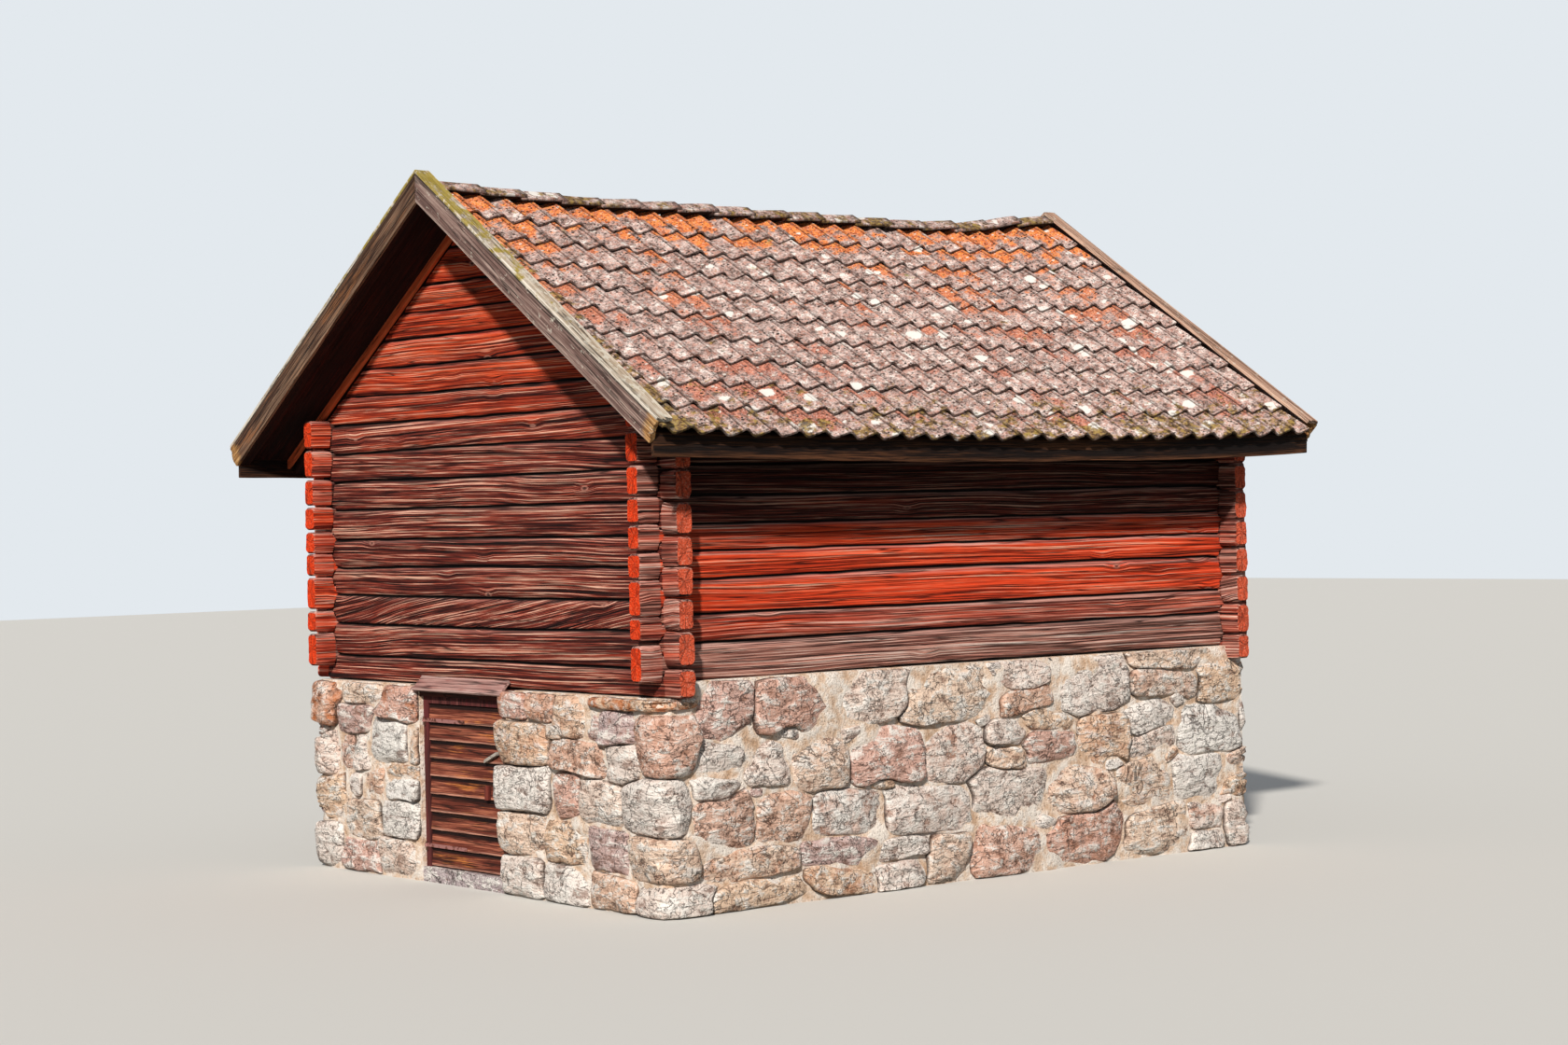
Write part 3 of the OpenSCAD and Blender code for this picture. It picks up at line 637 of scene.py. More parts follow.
def log_part(half, bottom, top, notch, wall, number, place, roof_line, paint, grey, slant=0.0, crest=0.3,
             shade=0.0):
    """A log from -half to half. notch is the pair of levels that it keeps in the crossing.
    roof_line gives half the length that the rafters leave at a height. crest is how much painted
    highlight lies on the upper edge, where its round catches the light, and shade how much painted
    shadow of the eave darkens the face."""
    seed = wall * 31 + number
    along, upper, lower, neck, outer = log_profile(half, bottom, top, notch, wall, number)
    section = BODY_SECTION * (1 - neck[:, None, None]) + HEAD_SECTION * neck[:, None, None]
    a, b = section[..., 0], section[..., 1]
    middle_z, half_z = (upper + lower) / 2, (upper - lower) / 2
    s = np.repeat(along[:, None], ROUND_COUNT, axis=1)
    out, up = a * LOG_THICK / 2, middle_z[:, None] + b * half_z[:, None]
    spot = xyz(s.ravel(), out.ravel() * 2 + seed, up.ravel())
    ridges = RIDGE_DEEP * ripple(spot * (0.5, 1, 24), seed)
    ridges += FINE_RIDGE_DEEP * ripple(spot * (0.9, 1, 47), seed + 3)
    swell = SWELL_DEEP * ripple(spot * (1.1, 1, 7), seed + 7)
    chops = CHOP_DEEP * ripple(spot * (9, 1, 20), seed + 5) * np.repeat(neck, ROUND_COUNT)
    relief = (ridges + swell + chops).reshape(a.shape)
    out = out + np.sign(a) * a ** 2 * relief
    up = up + np.sign(b) * np.abs(b) ** 3 * chops.reshape(a.shape)
    if notch:
        out = out * (1 - TIP_NARROW * np.clip((np.abs(s) - (half - TIP)) / TIP, 0, 1))
    if roof_line is not None:
        room = roof_line(up) + ROOF_UNEVEN * ripple(spot * (1, 1, 30), 17).reshape(a.shape)
        s = np.sign(s) * np.minimum(np.abs(s), room + (np.abs(s) - room) * 0.01) if notch else s / half * room

    wave = GRAIN_WAVE * ripple(spot * (1.2, 1, 3), 21).reshape(a.shape)
    grain = xyz(s + seed * 7.31, up + slant * s + wave * (1 + abs(slant) * 9), out)
    at_head = np.clip((np.abs(s) - outer) / HEAD_BLEND, 0, 1)
    head_paint = np.where(s < 0, *HEAD_PAINT[wall])
    head_grey = np.where(s < 0, *HEAD_GREY[wall]) + GREY_SPREAD * abs(math.sin(seed))
    on_flank = 1 - at_head
    flank = part(place(s.ravel(), out.ravel(), up.ravel()), skin(len(along), ROUND_COUNT),
                 grain=grain.reshape(-1, 3), level=(b * (1 - 0.12 * at_head)).ravel(), crest=crest,
                 paint=(paint * on_flank + head_paint * at_head).ravel(),
                 grey=(grey * on_flank + head_grey * at_head).ravel(),
                 check=(CHECKS[number] - 3 * at_head).ravel(), soot=shade * on_flank.ravel())
    return face_out([flank] + log_ends(s, out, up, middle_z, seed, roof_line, place))


# %% [markdown]
# ## The four walls and the two gables
# Paint has lasted best on the sheltered upper gable and in the middle of the right long
# wall. Low down it is bleached to a greyish rose, and so are the flanks of most log
# heads. These amounts are given for each log, from the sill up. One log of the front
# has grain that runs aslant, because the tree had grown twisted.

# %% Levels and lengths of the walls
GABLE_CLEAR = 0.004
ROOF_PITCH = math.radians(33.5)
wall_x = side_logs[0][1][0]
wall_front, wall_back = front_logs[0][0][1], solids("back_wall_logs")[0][1][1]
mid_y = (wall_front + wall_back) / 2
gable_half, long_half = front_logs[0][1][0], (side_logs[0][1][1] - side_logs[0][0][1]) / 2
top_plate = side_logs[-1][1][2]
gable_tip = top_plate + (wall_x - LOG_THICK / 2) * math.tan(ROOF_PITCH)


def gable_end(height):
    """Half the width that the rafters leave to the gable at a height."""
    return np.maximum((gable_tip - height) / math.tan(ROOF_PITCH) - GABLE_CLEAR, 0.02)


gable_levels = [box[0][2] for box in front_logs] + [front_logs[-1][1][2]]
side_levels = [box[0][2] for box in side_logs] + [side_logs[-1][1][2]]
# Crossing logs share the height that they have in common half and half
gable_low = [gable_levels[0]] + [(g + s) / 2 for g, s in zip(gable_levels[1:], side_levels[1:])]
gable_high = [(s + g) / 2 for s, g in zip(side_levels, gable_levels[1:])]
print("roof pitch", round(math.degrees(ROOF_PITCH), 1), "degrees, gable tip at", round(gable_tip, 3))

# %% [markdown]
# Paint, bleaching, slant of the grain and the painted shadow of the eave are judged from the
# photograph, one number for each log from the sill up. The left wall takes those of the right one.

# %% Wear of each log
FRONT_PAINT = [0.10, 0.22, 0.02, 0.06, 0.04, 0.06, 0.16, 0.20, 0.34, 0.50, 0.62, 0.70, 0.76, 0.85, 0.9, 0.95]
FRONT_SLANT = [0.0, -0.02, -0.13, 0.0, 0.01, 0.0, 0.015, 0.02, -0.015, 0.0, 0.01, 0.0, 0.0, 0.0, 0.0, 0.0]
# The top logs of the long wall lie in the eave's shadow: their low paint and grey numbers and the shade
# numbers paint it
RIGHT_PAINT = [0.28, 0.66, 1.35, 1.30, 1.10, 0.15, -0.1, -0.1, -0.1]
RIGHT_GREY = [0.68, 0.46, -0.1, -0.05, 0.32, 0.0, -0.1, -0.1, -0.1]
RIGHT_SHADE = [0.0, 0.0, 0.0, 0.0, 0.0, 0.5, 0.8, 0.9, 0.9]
# Paint and bleaching on the heads at the near and far end of the logs of each wall
HEAD_PAINT = {1: (1.25, 0.48), 2: (0.60, 0.40), 3: (0.45, 0.45), 4: (0.70, 0.45)}
HEAD_GREY = {1: (0.30, 0.36), 2: (0.25, 0.38), 3: (0.40, 0.40), 4: (0.20, 0.40)}
# Height on each log, from -1 to 1, of the drying crack that runs along it
CHECKS = [-0.1, 0.3, -0.5, 0.05, 0.2, -0.3, 0.15, -0.1, 0.3, 0.1, -0.2, 0.0, 0.2, -0.1, 0.1, 0.0]

# %% [markdown]
# Walls 1 and 2 are the gable walls, 3 and 4 the long ones. All logs up to the eaves cross
# at the corners, and those of the gable triangle end under the rafters.

# %% Build the log walls
def gable_place(y, outward):
    """Turns a log's own coordinates into a wall across the building."""
    return lambda s, out, up: xyz(s, y + outward * out, up)


def long_place(x, outward):
    """Turns a log's own coordinates into a wall along the building."""
    return lambda s, out, up: xyz(x + outward * out, mid_y + s, up)


def gable_wall(wall, y, outward):
    """The crossing logs of a gable wall. The uppermost is cut off under the rafters."""
    parts = []
    for i, (low, high) in enumerate(front_logs):
        roof_line = gable_end if i == len(front_logs) - 1 else None
        parts += log_part(gable_half, low[2], high[2], (gable_low[i], gable_high[i]), wall, i,
                          gable_place(y, outward), roof_line, FRONT_PAINT[i], 0.05, FRONT_SLANT[i])
    return parts


def gable_triangle(wall, y, outward):
    """The logs above the long walls, each as long as the rafters leave it."""
    parts = []
    for i, (low, high) in enumerate(gable_logs, len(front_logs)):
        half = float(gable_end(np.array([low[2]]))[0])
        parts += log_part(half, low[2], high[2], None, wall, i, gable_place(y, outward), gable_end,
                          FRONT_PAINT[i], 0.0, FRONT_SLANT[i])
    return parts


def long_wall(wall, x, outward):
    """The logs of a long wall, from the sill to the top plate."""
    parts = []
    for i, (low, high) in enumerate(side_logs):
        parts += log_part(long_half, low[2], high[2], (gable_high[i], gable_low[i + 1]), wall, i,
                          long_place(x, outward), None, RIGHT_PAINT[i], RIGHT_GREY[i], crest=1.0,
                          shade=RIGHT_SHADE[i])
    return parts


front_y, back_y = wall_front + LOG_THICK / 2, wall_back - LOG_THICK / 2
side_x = wall_x - LOG_THICK / 2
for node, parts, ends, slot in (
        ("front_wall_logs", gable_wall(1, front_y, -1), END_SIDE, "shaded_logs"),
        ("back_wall_logs", gable_wall(2, back_y, 1), END_SIDE, "shaded_logs"),
        ("front_gable_logs", gable_triangle(1, front_y, -1), END_SIDE, "shaded_logs"),
        ("back_gable_logs", gable_triangle(2, back_y, 1), END_SIDE, "shaded_logs"),
        ("right_wall_logs", long_wall(3, side_x, 1), END_FRONT, "sunny_logs"),
        ("left_wall_logs", long_wall(4, -side_x, -1), END_FRONT, "sunny_logs")):
    piece(node + "_hewn", parts, [LOG_PAINT, ends], BUILDING, slot, [node])

# %% [markdown]
# ## Granite fieldstones and lime mortar
# The cellar walls are field boulders, split to flat faces, in lime mortar that fills the
# joints almost to the face and has been washed pale. Each stone has its own tone, from
# grey purple over pinkish brown and tan to whitish. Clouds 125 mm wide and level beds
# lighten and darken it, pits and fine cracks mark it, and painted shade darkens its rim.

# %% Granite and mortar finishes
def granite(name):
    """Rough granite. Beds run level, 45 mm thick, and the grit is 13 mm, drawn coarse to show."""
    material, tree, shader = new_material(name)
    place = add(tree, "ShaderNodeTexCoord", get="Object")
    tone, rust, rim = carried(tree, "tone", "rust", "rim")
    cloud = speckle(tree, place, 8.0, 4, 0.6, 0.4)
    beds = speckle(tree, place, (7.0, 7.0, 22.0), 4, 0.62, 0.5)
    grit = speckle(tree, place, 75.0, 4, 0.72)
    base = add(tree, "ShaderNodeValToRGB", tone, stops=[
        (0.0, "#c9b7b8"), (0.25, "#e6b9a8"), (0.5, "#f4d2b4"), (0.75, "#f8e3d6"), (1.0, "#f8f1ea")])
    relief = weighted(tree, (beds, 0.45), (cloud, 0.35), (grit, 0.20))
    colour = coat(tree, base, "#fff8f0", relief, 0.51, 0.56, 0.9)
    colour = coat(tree, colour, "#8a6453", relief, 0.47, 0.42, 0.7)
    colour = coat(tree, colour, "#453027", grit, 0.41, 0.37, 0.8)
    warm = both(tree, rust, add(tree, "ShaderNodeMapRange", speckle(tree, place, 9.0, 5, 0.65), 0.44, 0.60))
    colour = coat(tree, colour, "#c4703a", warm, cover=0.85)
    cracks = strongest(tree, line_of(tree, speckle(tree, place, 2.6, 4, 0.6, 0.5), 0.009),
                       line_of(tree, speckle(tree, place, (6.0, 6.0, 9.0), 4, 0.6, 0.3), 0.014))
    colour = coat(tree, colour, "#33241f", cracks, cover=0.85)
    colour = coat(tree, colour, "#ece6dd", speckle(tree, place, 15.0, 5, 0.7), 0.585, 0.63, 0.8)
    # Painted shade at the rim of each stone, where it meets the mortar
    colour = coat(tree, colour, "#3e2d25", rim, 0.25, 0.85, 0.9)
    height = weighted(tree, (beds, 1), (cloud, 0.7), (grit, 0.28), (cracks, -0.12))
    finish(tree, shader, colour, 0.88, height, 42.0, 0.25)
    return material


def lime_mortar(name):
    """Lime and sand, washed pale where the rain runs and browner in its hollows."""
    material, tree, shader = new_material(name)
    place = add(tree, "ShaderNodeTexCoord", get="Object")
    cloud = speckle(tree, place, 9.0, 4, 0.62)
    grit = speckle(tree, place, 70.0, 4, 0.7)
    colour = add(tree, "ShaderNodeValToRGB", cloud,
                 stops=[(0.34, "#d0ab8c"), (0.46, "#ecd0b8"), (0.58, "#faeee2")])
    colour = coat(tree, colour, "#7d6454", grit, 0.42, 0.34, 0.8)
    finish(tree, shader, colour, 0.95, weighted(tree, (cloud, 1), (grit, 0.5)), 24.0, 0.2)
    return material


GRANITE = granite("pink_and_grey_granite")
MORTAR = lime_mortar("washed_lime_mortar")

# %% [markdown]
# ### The unrolled wall
# The wall is unrolled into one long strip, from the right side of the doorway round the
# building to its left side, so that stones run round the corners as well. A place on
# the strip is its distance from the doorway, its height, and how far it stands out.
# Straight runs and quarter turns at the corners bring it back to the building.

# %% Strip round the cellar
face = {n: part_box("foundation_" + n) for n in ("front_left", "front_right", "back", "left", "right")}
cellar_low = np.array([face["left"][0][0], face["front_left"][0][1], 0.0])
cellar_high = np.array([face["right"][1][0], face["back"][1][1], face["back"][1][2]])
door_left, door_right = face["front_left"][1][0], face["front_right"][0][0]
SILL_TOP = face["back"][1][2]
PLINTH_TOP = face["right"][1][2]
CORNER = 0.04
span_x, span_y = cellar_high[0] - cellar_low[0], cellar_high[1] - cellar_low[1]
arc = CORNER * math.pi / 2
RUNS = [cellar_high[0] - CORNER - door_right, span_y - 2 * CORNER, span_x - 2 * CORNER,
        span_y - 2 * CORNER, door_left - cellar_low[0] - CORNER]
STRIP = sum(RUNS) + 4 * arc
print("strip round the cellar", round(STRIP, 3), "m long")


def on_wall(along, up, out):
    """Point on the building of a place on the strip. The strip may start before the doorway."""
    spot = np.array([door_right, cellar_low[1]])
    heading = np.array([1.0, 0.0])
    ground = np.zeros((len(along), 2))
    facing = np.zeros((len(along), 2))
    start = 0.0
    for k, run in enumerate(RUNS):
        outward = np.array([heading[1], -heading[0]])
        here = ((along >= start - 1e-9) | (k == 0)) & ((along <= start + run + 1e-9) | (k == 4))
        ground[here] = spot + heading * (along[here] - start)[:, None]
        facing[here] = outward
        spot = spot + heading * run
        start += run
        if k < 4:
            centre = spot - outward * CORNER
            here = (along > start) & (along < start + arc)
            angle = ((along[here] - start) / CORNER)[:, None]
            way = outward * np.cos(angle) + heading * np.sin(angle)
            ground[here] = centre + way * CORNER
            facing[here] = way
            spot = centre + heading * CORNER
            heading = -outward
            start += arc
    ground = ground + facing * out[:, None]
    return xyz(ground[:, 0], ground[:, 1], np.maximum(up, 0.0))


def wall_top(along):
    """Upper edge of the stonework: higher under the long walls than under the gables."""
    ends = np.cumsum(RUNS) + np.arange(5) * arc
    long_side = ((along > ends[0] + 0.2) & (along < ends[1] - 0.1)) | \
        ((along > ends[2] + 0.2) & (along < ends[3] - 0.1))
    return np.where(long_side, PLINTH_TOP, SILL_TOP)


# %% [markdown]
# ### Layout of the stones
# The stones beside the door follow the photograph: left, right, bottom and top in
# metres, how far each is proud, its tone, and how rusty it is. The other sides repeat
# the same kind of walling in rough courses from a fixed random series. Between stones,
# a place on the wall belongs to the one that is nearest in its own half sizes, and the
# joint runs where two are equally near. So every outline fits its neighbours.

# %% Places of the stones
FRONT_STONES = [
    (-2.32, -1.81, 1.01, 1.35, 0.095, 0.35, 1.0), (-1.81, -1.36, 0.98, 1.19, 0.050, 0.15, 0.2),
    (-1.70, -1.20, 1.19, 1.35, 0.035, 0.60, 0.1), (-1.20, -0.74, 1.09, 1.34, 0.075, 0.25, 0.8),
    (-1.36, -0.86, 0.79, 1.10, 0.055, 1.00, 0.0), (-0.86, -0.74, 0.81, 1.08, 0.030, 0.55, 0.3),
    (-1.58, -1.35, 0.73, 0.98, 0.040, 0.80, 0.1), (-1.14, -0.74, 0.70, 0.79, 0.030, 0.50, 0.3),
    (-1.19, -0.74, 0.54, 0.70, 0.050, 1.00, 0.0), (-1.48, -1.19, 0.53, 0.73, 0.035, 0.40, 0.3),
    (-1.23, -0.74, 0.28, 0.54, 0.055, 0.95, 0.0), (-1.25, -0.74, 0.00, 0.27, 0.050, 0.70, 0.2),
    (-1.72, -1.24, 0.24, 0.52, 0.050, 0.60, 0.1), (-1.76, -1.26, 0.00, 0.23, 0.055, 0.20, 0.2),
    (-2.30, -1.80, 0.67, 1.00, 0.075, 0.75, 0.3), (-1.80, -1.58, 0.72, 0.97, 0.035, 0.30, 0.1),
    (-2.26, -1.72, 0.34, 0.66, 0.070, 0.50, 0.2), (-2.34, -1.77, 0.00, 0.33, 0.080, 0.85, 0.0),
    (-1.70, -1.49, 0.53, 0.71, 0.035, 0.90, 0.1), (0.26, 0.62, 1.16, 1.34, 0.055, 0.22, 0.7),
    (0.62, 0.93, 1.17, 1.35, 0.055, 0.35, 0.6), (0.24, 0.83, 0.87, 1.15, 0.090, 0.48, 0.4),
    (0.23, 0.87, 0.57, 0.86, 0.085, 0.92, 0.0), (0.25, 0.80, 0.28, 0.56, 0.065, 0.60, 0.1),
    (0.24, 0.78, 0.00, 0.27, 0.065, 0.80, 0.0), (0.93, 1.29, 1.07, 1.34, 0.055, 0.45, 0.3),
    (1.29, 1.45, 1.08, 1.27, 0.030, 0.15, 0.1), (1.45, 1.82, 1.06, 1.26, 0.060, 0.05, 0.2),
    (1.40, 2.30, 1.27, 1.35, 0.065, 0.50, 1.0), (0.85, 1.00, 1.05, 1.14, 0.035, 0.60, 0.1),
    (0.90, 1.50, 0.85, 1.05, 0.055, 0.35, 0.3), (1.50, 1.86, 0.80, 1.05, 0.045, 0.80, 0.0),
    (1.84, 2.32, 0.88, 1.26, 0.080, 0.30, 0.3), (0.88, 1.20, 0.55, 0.84, 0.055, 0.25, 0.2),
    (1.20, 1.67, 0.53, 0.82, 0.060, 0.70, 0.0), (1.67, 2.28, 0.50, 0.85, 0.075, 0.90, 0.1),
    (0.81, 1.26, 0.26, 0.54, 0.050, 0.50, 0.2), (1.26, 1.72, 0.24, 0.52, 0.055, 0.10, 0.1),
    (1.72, 2.30, 0.21, 0.49, 0.070, 0.60, 0.2), (0.79, 1.30, 0.00, 0.25, 0.055, 0.90, 0.0),
    (1.30, 1.80, 0.00, 0.23, 0.060, 0.40, 0.1), (1.80, 2.36, 0.00, 0.20, 0.075, 0.80, 0.0),
]
COURSES = [(0.0, 0.36), (0.36, 0.71), (0.71, 1.08), (1.08, PLINTH_TOP)]
# Widths of the coursed stones, half sizes of the wedges, and how far stones are proud
STONE_WIDTHS, WEDGE_HALVES, WEDGE_HIGH, PROUD = (0.36, 0.82), (0.05, 0.1), (0.03, 0.06), (0.035, 0.06)
# How far they stray: the start of a course, up and down, sideways, and in angle
STRAY_START, STRAY_UP, STRAY_SIDE, STRAY_TURN, WEDGE_TURN = 0.12, 0.045, 0.03, 0.24, 0.6
WEDGE_CHANCE, SPLIT_CHANCE, SPLIT_FROM = 0.45, 0.30, 0.3
# The stones that follow the photograph reach this far to the left and right on the front
DRAWN_LEFT, DRAWN_RIGHT = -2.28, 2.30
random = np.random.default_rng(7)


def front_places():
    """Strip places of the stones beside the door."""
    for left, right, low, high, proud, tone, rust in FRONT_STONES:
        middle = (left + right) / 2
        along = middle - door_right if middle > 0 else STRIP - (door_left - middle)
        turn = 0.10 * math.sin(left * 37 + low * 11)
        yield along, (low + high) / 2, (right - left) / 2, (high - low) / 2, turn, proud, tone, rust


def coursed_places(first, last):
    """Strip places of stones in rough courses, some of two thin ones, with small wedges."""
    for low, high in COURSES:
        along = first + random.uniform(-STRAY_START, STRAY_START)
        while along < last - 0.1:
            width = random.uniform(*STONE_WIDTHS)
            top = min(high, float(wall_top(np.array([along + width / 2]))[0]))
            shift = random.uniform(-STRAY_UP, STRAY_UP)
            cuts = [low, top]
            if random.uniform() < SPLIT_CHANCE and top - low > SPLIT_FROM:
                cuts.insert(1, low + (top - low) * random.uniform(0.4, 0.6))
            for lower, upper in zip(cuts, cuts[1:]):
                lean = random.uniform(-STRAY_SIDE, STRAY_SIDE)
                half_high = (upper - lower) / 2 * random.uniform(0.88, 1.1)
                yield (along + width / 2 + lean, (lower + upper) / 2 + shift, width / 2, half_high,
                       random.uniform(-STRAY_TURN, STRAY_TURN), random.uniform(*PROUD),
                       random.uniform(0.1, 1), random.uniform(0, 0.75) ** 2)
            along += width
            if random.uniform() < WEDGE_CHANCE and top == high:
                yield (along, high + shift, random.uniform(*WEDGE_HALVES), random.uniform(*WEDGE_HIGH),
                       random.uniform(-WEDGE_TURN, WEDGE_TURN), 0.03, random.uniform(0, 1), 0.1)


coursed = coursed_places(DRAWN_RIGHT - door_right, STRIP - (door_left - DRAWN_LEFT))
layout = np.array(list(front_places()) + list(coursed))
print(len(FRONT_STONES), "stones drawn and", len(layout) - len(FRONT_STONES), "coursed")

# %% [markdown]
# A stone reaches as far as it is nearer than all others, measured in half sizes. The
# power of that measure makes the outlines rounder or squarer.

# %% Nearest stone
# 2 is an oval, and large powers come near a square
SQUARENESS = 6.0


def nearness(points, stones):
    """Distance of places from the middle of stones, in their own half sizes."""
    s, z, half_s, half_z, turn = (stones[:, k] for k in range(5))
    ds, dz = points[..., None, 0] - s, points[..., None, 1] - z
    u = (ds * np.cos(turn) + dz * np.sin(turn)) / half_s
    v = (dz * np.cos(turn) - ds * np.sin(turn)) / half_z
    return (np.abs(u) ** SQUARENESS + np.abs(v) ** SQUARENESS) ** (1 / SQUARENESS)


# %% [markdown]
# ### Shape of a stone
# A stone is flat on its face, falls off steeply at its rim and dives into the mortar.
# A few flat chips are struck off it, as frost and hammer leave them, and its bedding
# shows as low steps. Rays from its middle find its outline.

# %% Outline of a stone
STONE_AROUND, NEIGHBOURS_WITHIN = 36, 1.2
STONE_RINGS = np.array([1.0, 0.988, 0.965, 0.93, 0.87, 0.76, 0.56, 0.28])
RIM_DEPTH, RIM_POWER, JOINT, CHIPS = 0.012, 22, 0.007, 5
# Relief of the face in metres: bedding, steps and grit, and how far the outline strays
BED_DEEP, STEP_DEEP, GRIT_DEEP, OUTLINE_SHAKE = 0.010, 0.006, 0.003, 0.007
# On the right of the doorway the stones begin here, to keep clear of the door's leaf
LEAF_CLEAR = 0.272
LEAF_SIDE = LEAF_CLEAR - door_right


def outline_of(index):
    """Distances and directions from a stone's middle to its rim."""
    stone = layout[index]
    apart = np.hypot(layout[:, 0] - stone[0], layout[:, 1] - stone[1])
    near = layout[(apart < NEIGHBOURS_WITHIN) & (np.arange(len(layout)) != index)]
    angles = np.linspace(0, 2 * math.pi, STONE_AROUND, endpoint=False) + 0.1
    c, d = np.cos(angles) * stone[2], np.sin(angles) * stone[3]
    ways = np.stack([c * math.cos(stone[4]) - d * math.sin(stone[4]),
                     c * math.sin(stone[4]) + d * math.cos(stone[4])], axis=1)
    steps = np.linspace(0.2, 1.9, 120)
    spots = stone[:2] + ways[:, None, :] * steps[None, :, None]
    own = nearness(spots, stone[None])[..., 0]
    lost = nearness(spots, near).min(axis=-1) < own
    lost |= (spots[..., 1] < 0.0) | (spots[..., 1] > wall_top(spots[..., 0]) - 0.006)
    lost |= (spots[..., 0] < LEAF_SIDE) | (spots[..., 0] > STRIP)
    lost[:, -1] = True
    reach = steps[lost.argmax(axis=1)]
    reach = (np.roll(reach, 1) + 10 * reach + np.roll(reach, -1)) / 12
    return reach, ways


# %% [markdown]
# Rings from the rim to the middle make the stone. It is tilted a little, chips are cut
# off in flat planes, and ripples add beds, steps and grit.

# %% Loft the stones
def stone_part(index):
    """The mesh of one stone."""
    s, z, half_s, half_z, _, proud, tone, rust = layout[index]
    chance = np.random.default_rng(100 + index)
    reach, ways = outline_of(index)
    size = np.hypot(*ways.T)
    reach = np.maximum(reach - JOINT / 2 * chance.uniform(0.6, 1.5) / size, 0.15)
    points = []
    for ring in STONE_RINGS:
        out = -RIM_DEPTH + (proud + RIM_DEPTH) * (1 - ring ** RIM_POWER) ** 0.5
        spots = np.array([s, z]) + ways * (reach * ring)[:, None]
        points.append(np.column_stack([spots, np.full(STONE_AROUND, out)]))
    points = np.concatenate(points + [np.array([[s, z, proud]])])
    tilt = chance.uniform(-1, 1, 2) * (0.025 / max(half_s, 0.1), 0.02 / max(half_z, 0.1))
    inside = np.clip((points[:, 2] + RIM_DEPTH) / (proud + RIM_DEPTH), 0, 1)
    points[:, 2] += inside * ((points[:, 0] - s) * tilt[0] + (points[:, 1] - z) * tilt[1])
    for _ in range(CHIPS):
        way, lean = chance.uniform(0, 2 * math.pi), chance.uniform(0.10, 0.40)
        edge = chance.uniform(0.30, 0.85)
        across = (points[:, 0] - s) / half_s * math.cos(way) + (points[:, 1] - z) / half_z * math.sin(way)
        points[:, 2] -= inside * np.maximum(across - edge, 0) * lean * min(half_s, half_z)
    spot = points.copy()
    spot[:, 2] = index * 3.3
    relief = BED_DEEP * ripple(spot * (5, 12, 1), 31) + STEP_DEEP * ripple(spot * (14, 26, 1), 32)
    points[:, 2] += inside * (relief + GRIT_DEEP * ripple(spot * 45, 33))
    shake = np.stack([ripple(spot * 11, 41), ripple(spot * 11, 42)], axis=1)
    points[:, :2] += shake * OUTLINE_SHAKE
    points[:, 0] = np.clip(points[:, 0], LEAF_SIDE, STRIP + 0.002)
    points[:, 1] = np.minimum(points[:, 1], wall_top(points[:, 0]) - 0.003)
    faces = skin(len(STONE_RINGS), STONE_AROUND)
    end = (len(STONE_RINGS) - 1) * STONE_AROUND
    faces += [(end + k, end + (k + 1) % STONE_AROUND, len(points) - 1) for k in range(STONE_AROUND)]
    faces.append(tuple(range(STONE_AROUND))[::-1])
    # Nearness to the stone's rim, where the finish paints shade at the joint
    rim = np.append(np.repeat(np.clip((STONE_RINGS - 0.95) / 0.05, 0, 1), STONE_AROUND), 0)
    placed = on_wall(points[:, 0], points[:, 1], np.clip(points[:, 2], -RIM_DEPTH, proud * 1.25))
    return face_out([part(placed, faces, tone=tone, rust=rust, rim=rim)])[0]


stones = [stone_part(k) for k in range(len(layout))]
piece("fieldstones", stones, [GRANITE], BUILDING, "fieldstone", crease=38)
print(len(stones), "stones lofted")

# %% [markdown]
# ### Mortar
# The mortar is one rough shell over the strip. It stands about 19 mm proud of the plain
# masonry blocks behind it, with lumps of 9 mm, and has crumbled away in places, where
# the joints stay dark. Those blocks stay and show their lime inside the cellar.

# %% Mortar shell
MORTAR_OUT, MORTAR_BACK, MORTAR_LUMP, CRUMBLED = 0.019, 0.036, 0.009, 0.030
# At its rim and where it has crumbled the shell stays this far out
RIM_OUT, LEAST_OUT, TOP_ROOM = 0.004, 0.002, 0.004
MORTAR_STEP, MORTAR_ROWS = 0.045, 32
columns = int(STRIP / MORTAR_STEP)
strip_along = np.repeat(np.linspace(-0.001, STRIP + 0.001, columns), MORTAR_ROWS + 2)
share = np.tile(np.append(np.linspace(0, 1, MORTAR_ROWS), (1.0, 0.0)), columns)
at_back = np.tile(np.arange(MORTAR_ROWS + 2) >= MORTAR_ROWS, columns)
heights = share * (wall_top(strip_along) - TOP_ROOM)
flat = xyz(strip_along, heights, 0)
lumps = MORTAR_OUT + MORTAR_LUMP * rough(flat, 0.16, 3, 3)
lumps -= CRUMBLED * np.clip(rough(flat, 0.35, 2, 6) * 2.4 - 0.6, 0, 1)
rim = ((share > 0.99) | (strip_along < 1e-6) | (strip_along > STRIP - 1e-6)) & ~at_back
lumps = np.where(at_back, -MORTAR_BACK, np.where(rim, RIM_OUT, np.maximum(lumps, LEAST_OUT)))
ring_size = MORTAR_ROWS + 2
mortar_faces = skin(columns, ring_size)
mortar_faces += [tuple(range(ring_size))[::-1], tuple(range((columns - 1) * ring_size, columns * ring_size))]
mortar = part(on_wall(strip_along, heights, lumps), mortar_faces)
piece("mortar_skin", [mortar], [MORTAR], BUILDING, "fieldstone", crease=60)
for name in face:
    wear("foundation_" + name, MORTAR)

# %% [markdown]
# ## The roof's sag
# The solids give a straight roof. The real one has sunk: the ridge by 8 to 10 cm along
# most of its length, the eaves by half of that, and the verges not at all. Every piece
# of the roof is lowered by the same function, so tiles, boards and rafters stay together.

